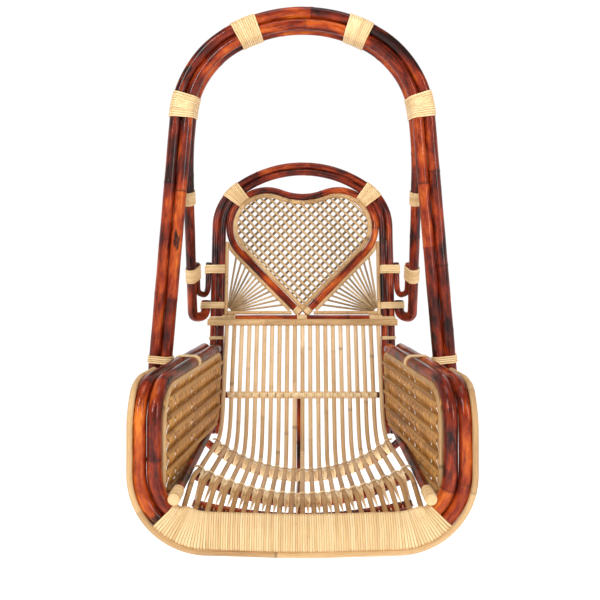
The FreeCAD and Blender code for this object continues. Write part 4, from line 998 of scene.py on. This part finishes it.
# Canes

def cane_piece(node, canes, material, slot, **options):
    """Replace a CAD node by round canes along lines."""
    shape = Shape()
    for line in canes:
        add_cane(shape, line, **options)
    shape.piece(node + "_look", material, slot, node)


def painted_front_shade(places):
    """Painted shade on the slats: lighter on the back, darker and browner toward the front of the seat."""
    return np.clip((PAINTED_SHADE_FROM - places[:, 1]) / PAINTED_SHADE_RUN, 0, 1)


def build_canes():
    for node in DARK_NODES:
        warmth = WARM_NODES.get(node, COMMON_WARMTH)
        cane_piece(node, [lines[node]], STAINED, "stained_cane", warmth=warmth)
    cane_piece("front_under_canes", under_lines, STAINED, "stained_cane")
    for node in PALE_NODES:
        cane_piece(node, [lines[node]], NATURAL, "natural_cane", sides=PALE_SIDES, joints=PALE_JOINTS)
    # The slats' third tone value is painted shade, darker toward the front of the seat.
    cane_piece("seat_slats", slat_lines, SLAT, "slat_cane", sides=THIN_SIDES, joints=THIN_JOINTS,
               step=MARCH_STEP * 1.5, warmth=painted_front_shade)


# shade is the layer's third tone value: painted shade, high on the rear layer, which the lattice's tint
# darkens.
def build_lattice(layer, shade):
    node = "heart_lattice_" + layer
    canes = [straight_line(*solid) for solid in solids(node)]
    for line in canes:
        line.radius += LATTICE_GROWTH
    cane_piece(node, canes, LATTICE, "natural_cane", sides=LATTICE_SIDES, joints=THIN_JOINTS,
               step=COARSE_STEP, warmth=shade)


def outward_sides(line, middle):
    """Directions across a line, in the plane of the back, that point away from a middle."""
    side = unit(np.cross(unit(np.gradient(line.points, axis=0)), BACK_FRONT))
    return side * np.sign(((line.points - middle) * side).sum(axis=1))[:, None]


def back_splits(node):
    """Line of each split cane of a node on the back, and its height over its flat side."""
    return [
        (middle_line(points, triangles, BACK_FRONT), np.ptp(points @ BACK_FRONT))
        for points, triangles in solids(node)
    ]


def fan_slope(hand, base, floor_level, half, limit):
    """Bead along the heart's cane, up to where it runs out at the upright: its places and half widths."""
    heart = carried_both(lines["heart_frame_cane"], FAN_CARRY)
    outs = outward_sides(heart, heart.points.mean(axis=0))
    edge = heart.points + outs * heart.radius
    edge += np.outer(base - edge @ BACK_FRONT, BACK_FRONT)
    mine = edge[:, 0] * hand > 0
    edge, outs = edge[mine], outs[mine]
    if edge[0] @ BACK_UP > edge[-1] @ BACK_UP:
        edge, outs = edge[::-1], outs[::-1]
    keep, sizes = [], []
    for place, out in zip(edge, outs):
        width = min(2 * half, (limit - abs(place[0])) / max(abs(out[0]), FAN_STEEP))
        if width < FAN_LEAST:
            break
        middle = place + out * width / 2
        if middle @ BACK_UP > floor_level + half:
            keep.append(middle)
            sizes.append(width / 2)
    return keep, np.array(sizes)


def fan_lines(node):
    """Lines of a fan's bead frame: foot and upright from the solid, and a slope along the heart's cane."""
    straight = []
    for points, triangles in solids(node):
        tall, wide, height = (np.ptp(points @ way) for way in (BACK_UP, RIGHT, BACK_FRONT))
        if min(tall, wide) < 2 * max(FAN_BEAD, height):
            straight.append((tall, middle_line(points, triangles, BACK_FRONT), height))
    (_, foot, height), (_, upright, _) = sorted(straight, key=lambda item: item[0])
    half = upright.radius * FAN_NARROW
    hand = np.sign(upright.points[0][0])
    low = min(upright.points[[0, -1]], key=lambda place: place @ BACK_UP)
    hoop = lines["back_hoop_inner_cane"]
    side_x = abs(hoop.at(hoop.nearest(low))[0][0]) - hoop.radius - half
    limit = side_x - half
    drop = BACK_UP * FAN_DROP
    floor_level = (foot.points @ BACK_UP).mean() - FAN_DROP
    keep, sizes = fan_slope(hand, (upright.points @ BACK_FRONT).mean(), floor_level, half, limit)
    low = np.array((hand * side_x, *low[1:])) - drop
    top = low + BACK_UP * (keep[-1] @ BACK_UP - low @ BACK_UP + FAN_TOP)
    foot_ends = [
        np.array((x, *foot.points[0][1:])) - drop for x in (hand * limit, keep[0][0] - hand * FAN_FOOT_CARRY)
    ]
    beads = [Line(ends, half, np.full(2, half)) for ends in (foot_ends, [low, top])]
    return [(line, height) for line in beads + [Line(keep, half, sizes)]]


def to_corner(line):
    """A fan's ray with its hub end moved into the corner of the fan's frame."""
    hub = np.abs(line.points[[0, -1], 0]).argmax()
    share = line.lengths / line.length
    share = share if hub else 1 - share
    out = RIGHT * np.sign(line.points[0][0]) * HUB_OUT
    return Line(line.points + share[:, None] * (out - BACK_UP * HUB_DOWN), line.radius, line.sizes)


def widened_bead(line):
    """The heart's bead, moved outward, a little wider and carried on at both ends."""
    middle = np.mean(lines["heart_frame_cane"].points, axis=0)
    points = line.points + outward_sides(line, middle) * BEAD_SHIFT
    return carried_both(Line(points, line.radius, line.sizes + BEAD_GROWTH), BEAD_CARRY)


def build_splits():
    """Beads of the heart and fans, the fan rays and the cap rail."""
    for node, material, read, adjust in (
        ("heart_bead", NATURAL, back_splits, widened_bead),
        ("left_fan_frame", NATURAL, fan_lines, None),
        ("right_fan_frame", NATURAL, fan_lines, None),
        ("left_fan_rays", LATTICE, back_splits, to_corner),
        ("right_fan_rays", LATTICE, back_splits, to_corner),
        ("slat_cap_rail", NATURAL, back_splits, None),
    ):
        shape = Shape()
        for line, height in read(node):
            line = adjust(line) if adjust else line
            add_split(shape, line, BACK_FRONT, height)
            split_lines.setdefault(node, []).append((line, (line.points @ BACK_FRONT).mean() + height))
        shape.piece(node + "_look", material, "natural_cane", node)


# Side panels

def panel_heights(border):
    """Heights of the inner rods, from the top, and the step between them."""
    low, high = border.points[:, 2].min(), border.points[:, 2].max()
    count = int((high - low) / PANEL_ROD_STEP)
    return high - (high - low) * (np.arange(count) + PANEL_ROD_START) / count, (high - low) / count


def panel_inward(run, place):
    inward = unit(np.array((-run[1], run[0], 0.0)))
    return -inward if inward[0] * place[0] > 0 else inward


def build_rods(side):
    """Rods of a side panel: one row inside the strips, and one outside half a step lower."""
    border = lines[side + "_panel_border"]
    heights, step = panel_heights(border)
    for layer, reach, drop in (("inner", PANEL_ROD_REACH, 0.0), ("outer", -PANEL_ROD_REACH, step / 2)):
        rods = []
        for height in heights - drop:
            if height < border.points[:, 2].min() + border.radius:
                continue
            places = border.cuts(UP * height, UP)
            front, rear = places[places[:, 1].argmin()], places[places[:, 1].argmax()]
            if np.linalg.norm(rear - front) < PANEL_ROD_LEAST:
                continue
            run = unit(rear - front)
            tuck = run * border.radius * PANEL_ROD_TUCK
            inward = panel_inward(run, front)
            rods.append(Line(np.array([front + tuck, rear - tuck]) + inward * reach, PANEL_ROD_RADIUS))
        cane_piece(side + "_panel_" + layer + "_rods", rods, ROD, "slat_cane", sides=THIN_SIDES,
                   joints=THIN_JOINTS, step=COARSE_STEP)


def build_strips(side):
    """Upright strips of a side panel, bent in and out between the rods."""
    node = side + "_panel_strips"
    heights, step = panel_heights(lines[side + "_panel_border"])
    shape = Shape()
    for points, _ in solids(node):
        middle = points.mean(axis=0)
        across = np.append(np.linalg.svd(points[:, :2] - middle[:2])[2][0], 0.0)
        inward = panel_inward(across, middle)
        lift_panel(points)
        rows = np.linspace(points[:, 2].min(), points[:, 2].max() + STRIP_RISE, STRIP_ROWS)
        turns = (rows - heights[0]) / step
        wave = -STRIP_WAVE * np.cos(2 * math.pi * turns) * RNG.uniform(*STRIP_WAVE_RANGE)
        base = np.append(middle[:2], 0.0) - inward * STRIP_THICKNESS / 2
        path = base + rows[:, None] * UP + wave[:, None] * inward
        width = np.ptp(points @ across) * RNG.uniform(*STRIP_WIDTH_RANGE)
        fronts, sides = (np.tile(axis, (STRIP_ROWS, 1)) for axis in (inward, across))
        turns = (turns + STRIP_FIRST_TURN).astype(int)
        add_strip(shape, path, fronts, sides, width, STRIP_THICKNESS, turns)
    shape.piece(node + "_look", STRIP, "panel_strip", node)


# Peel

def build_windings():
    arch, arms, posts = (
        (loop + "_inner_cane", loop + "_outer_cane") for loop in ("arch", "arm_loop", "back_hoop")
    )
    leg, hook, rail = "{side}_hanger_leg", "{side}_brace_hook", ("back_cross_rail",)
    wind("arch_bindings", [(arch + ("arch_rear_cane",), 11, 0)], PEEL_THICKNESS)
    wind("hanger_splice_bindings", [((leg,), 10, 0)], PEEL_THICKNESS, lines["arch_rear_cane"].radius)
    wind("brace_leg_bindings", [((leg, hook), 8, 0)], PEEL_THICKNESS)
    wind("upper_post_bindings", [(posts + (hook,), 5, 0)], PEEL_THICKNESS)
    wind("lower_post_bindings", [(posts + (leg,), 4, 0)], PEEL_THICKNESS)
    wind("hoop_bindings", [(posts + ("heart_frame_cane",), 10, HOOP_GROWTH)], LASH_THICKNESS)
    wind("rail_end_bindings", [(rail, 10, RAIL_END_GROWTH)], LASH_THICKNESS)
    wind("heart_tip_binding", [(rail, 8, 0)], LASH_THICKNESS)
    lashed = [(arch, 4, ARCH_LASH_GROWTH), (arms, 4, ARM_LASH_GROWTH)]
    wind("arch_arm_lashings", lashed, ROLL_THICKNESS, fill=LASH_FILL)
    wind("arm_post_lashings", [(posts, 3, 0)], PEEL_THICKNESS, fill=LASH_FILL)


def wound_piece(name, canes, spans, turns, thickness, *nodes, taper=None, points=TURN_POINTS):
    """Peel wound round a bundle of canes, over spans of the first one's length."""
    shape = Shape()
    for low, high in spans:
        add_winding(shape, canes[0], bundle_circles(canes, taper), low, high, turns, thickness, points)
    shape.piece(name, PEEL, "peel", *nodes)


def build_rail_ties():
    """Peel round both posts where the cross rail meets them."""
    posts = [lines["back_hoop_inner_cane"], lines["back_hoop_outer_cane"]]
    ends = posts[0].nearest(lines["back_cross_rail"].points[[0, -1]])
    spans = [(end - RAIL_POST_HALF, end + RAIL_POST_HALF) for end in ends]
    wound_piece("rail_post_ties", posts, spans, RAIL_POST_TURNS, PEEL_THICKNESS)


def build_rail_tips():
    """Peel round the front ends of the side rails and over their rounded tips."""
    share = np.linspace(0, 1, RAIL_TIP_RINGS * RAIL_TIP_TURNS + 1)
    crest = np.abs(np.sin(share * RAIL_TIP_TURNS * math.pi))
    tilt = share * RAIL_TIP_TILT
    section = circle_section(CANE_SIDES)
    shape = Shape()
    for points, _ in solids("side_rail_lashings"):
        cane = lines["left_side_rail" if points[0][0] < 0 else "right_side_rail"]
        end = cane.length
        add_winding(shape, cane, bundle_circles([cane]), end - RAIL_WRAP, end, RAIL_TURNS, PEEL_THICKNESS)
        centres = cane.at(end) + ((RAIL_CLOSE + MM) * np.sin(tilt) - MM)[:, None] * cane.heading(end)
        across, upward = turning_frames(centres)
        grain = centres[:, None, :] + across[:, None, :] * section[None, :, :1] * cane.radius
        tone = np.full(grain.shape, RAIL_TIP_TONE)
        tone[:, :, 1] = 1 - crest[:, None]
        scale = (cane.radius + PEEL_THICKNESS * crest) * np.cos(tilt)
        shape.sweep(centres, across, upward, section, scale, grain, tone)
    shape.piece("side_rail_lashings_peel", PEEL, "peel", "side_rail_lashings")


def build_tip():
    """Peel round the two lower ends of the heart's cane, above the binding of the rail."""
    heart = lines["heart_frame_cane"]
    spans = (0.0, TIP_LENGTH), (heart.length - TIP_LENGTH, heart.length)
    wound_piece("heart_tip_arms", [heart], spans, TIP_TURNS, LASH_THICKNESS)


def build_roll():
    """Front roll: one peel wound round both arm canes and the thin cane on top."""
    node = "front_roll_wrap"
    canes = [lines[name] for name in ("arm_loop_inner_cane", "arm_loop_outer_cane", "roll_top_cane")]
    span = span_on(canes[0], np.concatenate([points for points, _ in solids(node)]))
    wound_piece("front_roll_peel", canes, [span], ROLL_TURNS, ROLL_THICKNESS, node,
                taper=ROLL_TAPER, points=ROLL_POINTS)


def slat_places(cane, canes_over):
    """Length along a cross cane, and place of the slat's middle, for each slat that passes over it."""
    found = []
    for slat in canes_over:
        place = slat.at(slat.nearest(cane.points[len(cane.points) // 2]))[0]
        where = cane.nearest(place)[0]
        for _ in range(3):
            place = slat.at(slat.nearest(cane.at(where)[0]))[0]
            where = cane.nearest(place)[0]
        found.append((where, place))
    return found


def build_back_lashing():
    """Peel wound closely along the back cross cane, over each slat."""
    cane = lines["back_cross_cane"]
    places = [place for _, place in slat_places(cane, slat_lines[1:-1])]
    radius = slat_lines[0].radius

    def circles(at, heading, first, second):
        found = [(0.0, 0.0, cane.radius)]
        for away in places - at:
            share = ease(1 - (abs(away @ heading) - BACK_LASH_FULL) / BACK_LASH_FADE)
            if share > 0:
                found.append(((away @ first) * share, (away @ second) * share, radius))
        return found

    low, high = span_on(cane, solids("back_cross_lashing")[0][0])
    shape = Shape()
    add_winding(shape, cane, circles, low, high, BACK_LASH_TURNS, LASH_THICKNESS, BACK_LASH_POINTS)
    # The paler peel on this lashing is painted light.
    shape.piece("back_cross_lashing_peel", LIT_SEAT_PEEL, "peel", "back_cross_lashing")


def cross_axes(cane, where):
    """Place on a cross cane, its heading, and the direction up from it."""
    at, heading = cane.at(where)[0], cane.heading(where)[0]
    return at, heading, unit(UP - heading * heading[2])


def add_strand(shape, cane, places, middles, top):
    """Strand along a cross cane, over each slat and down between the slats."""
    half = (places[1] - places[0]) / 2
    knots = np.sort(np.concatenate([places, middles, [places[0] - half, places[-1] + half]]))
    count = len(knots) - 1
    path, outward = [], []
    for where in np.interp(np.linspace(0, count, count * STRAND_STEPS + 1), np.arange(len(knots)), knots):
        at, _, up = cross_axes(cane, where)
        gap = np.abs(places - where).min() / half
        rise = top + SCALLOP_RISE - SCALLOP_DIP * gap ** SCALLOP_POWER
        path.append(at + up * rise + REAR * cane.radius * SCALLOP_REAR)
        outward.append(unit(up + REAR * STRAND_LEAN))
    path = np.array(path)
    along = unit(np.gradient(path, axis=0))
    across = unit(np.cross(np.array(outward), along))
    turn = np.arange(len(path)) // STRAND_SHADE
    add_strip(shape, path, np.cross(along, across), across, SCALLOP_WIDTH, SCALLOP_THICKNESS, turn)


def add_straps(shape, cane, at, heading, up, hang):
    """Three straps round a cross cane between two slats, which meet the strand at their top."""
    turn = np.linspace(0, 2 * math.pi, STRAP_POINTS)
    outs = np.cos(STRAP_START - turn)[:, None] * up + np.sin(STRAP_START - turn)[:, None] * REAR
    near = np.clip(1 - np.minimum(turn, 2 * math.pi - turn) / STRAP_REACH, 0, 1) ** STRAP_POWER
    sides = np.tile(heading, (STRAP_POINTS, 1))
    for hand in (0, -1, 1):
        aside = hand * STRAP_SPREAD * np.abs(np.cos(turn / 2))
        lift = cane.radius + (hang + abs(hand) * STRAP_CLIMB) * near + (1 + hand) * STRAP_LAYER
        loop = at + outs * lift[:, None] + aside[:, None] * heading
        add_strip(shape, loop, outs, sides, STRAP_WIDTH, STRAP_THICKNESS, np.zeros(STRAP_POINTS))


def add_tie(shape, cane, at, heading, up):
    """Tie that narrows from the front cross cane to the under cane in front of it."""
    under = under_lines[0]
    spread = spread_share(under.points[0][1])
    below = under.at(np.interp(at[0] * spread, under.points[:, 0], under.lengths))[0]
    knots = [
        at + up * cane.radius, at - REAR * cane.radius, below + up * under.radius,
        below - REAR * under.radius, below - up * under.radius,
    ]
    outs = unit(np.array([up, up - REAR, up - REAR * TIE_LEAN, -REAR, -up]))
    marks = np.arange(len(knots))
    share = np.linspace(0, len(knots) - 1, STRAP_POINTS)
    path, outs = rows_at(share, marks, knots), unit(rows_at(share, marks, outs))
    sides = np.tile(heading, (STRAP_POINTS, 1))
    widths = np.interp(share, marks, TIE_WIDTHS)
    add_strip(shape, path + outs * STRAP_LAYER, outs, sides, widths, STRAP_THICKNESS, np.zeros(STRAP_POINTS))


def build_slat_lashing(name):
    """Strand over the slats along a cross cane, straps between the slats, and ties in front."""
    cane = lines[name + "_cross_cane"]
    slats = sorted(slat_places(cane, slat_lines), key=lambda item: item[0])
    places = np.array([where for where, _ in slats])
    middles = (places[1:] + places[:-1]) / 2
    rise = np.mean([np.linalg.norm(place - cane.at(where)[0]) for where, place in slats])
    top = rise + slat_lines[0].radius
    shape = Shape()
    add_strand(shape, cane, places, middles, top)
    for where in middles:
        axes = cross_axes(cane, where)
        add_straps(shape, cane, *axes, top - SCALLOP_DIP - cane.radius)
        if name == "front":
            add_tie(shape, cane, *axes)
    node = name + "_cross_lashing"
    # The paler peel on these lashings is painted light.
    shape.piece(node + "_peel", LIT_SEAT_PEEL, "peel", node)


# Nails

def add_nail(shape, place):
    """Domed head of a small nail in the front of the back."""
    side = unit(np.cross(BACK_FRONT, (0.31, 0.2, 0.9)))
    sides, others = (np.tile(axis, (NAIL_RINGS, 1)) for axis in (side, np.cross(BACK_FRONT, side)))
    tilt = np.arange(NAIL_RINGS) * math.pi / 2 / NAIL_RINGS
    centres = place + np.sin(tilt)[:, None] * BACK_FRONT * NAIL_RADIUS * NAIL_DOME
    plain = np.zeros((NAIL_RINGS, NAIL_SIDES, 3))
    shape.sweep(centres, sides, others, circle_section(NAIL_SIDES), np.cos(tilt) * NAIL_RADIUS, plain, plain)


def build_nails():
    shape = Shape()
    for node, step in NAIL_STEPS.items():
        for line, level in split_lines[node]:
            count = max(2, int(line.length / step))
            for index in range(count):
                share = (index + 0.5 + RNG.uniform(-NAIL_JITTER, NAIL_JITTER)) / count
                place = line.at(line.length * share)[0]
                add_nail(shape, place + BACK_FRONT * (level - place @ BACK_FRONT - NAIL_SINK))
    shape.piece("nail_heads", NAIL, "stained_cane")


# Stage

def build_stage():
    """Pale floor, and a world that is white behind the chair and dimmer on the camera's side."""
    place = (0, 0, CAD_BOX[0][2] - FLOOR_DROP)
    bpy.ops.mesh.primitive_circle_add(
        vertices=FLOOR_SIDES, radius=FLOOR_RADIUS, fill_type="NGON", location=place)
    floor = bpy.context.object
    floor.name = "floor"
    pale = Look("pale_floor", base_color=(0.96, 0.96, 0.96, 1), roughness=0.9, specular_ior_level=0.1,
                emission_color=(1, 1, 1, 1), emission_strength=FLOOR_GLOW)
    floor.data.materials.append(pale.material)
    world = bpy.data.worlds.new("studio")
    bpy.context.scene.world = world
    sky = Nodes(world)
    _, y, z = sky.split(sky.add("ShaderNodeTexCoord").outputs["Generated"])
    glow = sky.band(z, HORIZON_HEIGHT, 0.0, 0.0, HORIZON_GLOW)
    level = sky.math("ADD", sky.math("MULTIPLY_ADD", z, WORLD_LEAN, y), glow)
    background = sky.tree.nodes["Background"]
    sky.put((1, 1, 1, 1), background.inputs["Color"])
    sky.put(sky.band(level, WORLD_FROM, WORLD_TO, WORLD_DIM, WORLD_BRIGHT), background.inputs["Strength"])
    bpy.context.scene.view_settings.view_transform = "Standard"


def add_light(name, place, size, power):
    data = bpy.data.lights.new(name, "AREA")
    data.shape = "RECTANGLE"
    data.size, data.size_y = size
    data.energy = power
    light = bpy.data.objects.new(name, data)
    light.location = place
    light.rotation_euler = (Vector(LIGHT_TARGET) - Vector(place)).to_track_quat("-Z", "Y").to_euler()
    bpy.context.scene.collection.objects.link(light)


def build_lights():
    add_light("key", (-1.3, -2.1, 0.9), size=(0.45, 1.6), power=42)
    add_light("fill", (1.7, -1.9, 0.2), size=(0.4, 1.5), power=24)
    add_light("top", (0.0, -0.5, 1.6), size=(1.4, 1.0), power=13)


def build_camera():
    data = bpy.data.cameras.new("camera")
    data.sensor_width = SENSOR
    data.sensor_fit = "HORIZONTAL"
    data.lens = SENSOR * FOCAL_PIXELS / IMAGE
    data.shift_x = -(AXIS_PIXEL[0] - IMAGE / 2) / IMAGE
    data.shift_y = (AXIS_PIXEL[1] - IMAGE / 2) / IMAGE
    camera = bpy.data.objects.new("camera", data)
    camera.location = CAMERA_PLACE
    camera.rotation_euler = (math.pi / 2, 0, 0)
    bpy.context.scene.collection.objects.link(camera)
    bpy.context.scene.camera = camera


build_canes()
build_splits()
# Painted light on the front lattice layer, and painted shade on the rear layer behind it.
build_lattice("front", 0.2)
build_lattice("rear", 1.3)
for side in ("left", "right"):
    build_rods(side)
    build_strips(side)
build_windings()
build_rail_ties()
build_rail_tips()
build_tip()
build_roll()
build_back_lashing()
build_slat_lashing("middle")
build_slat_lashing("front")
build_nails()
build_stage()
build_lights()
build_camera()
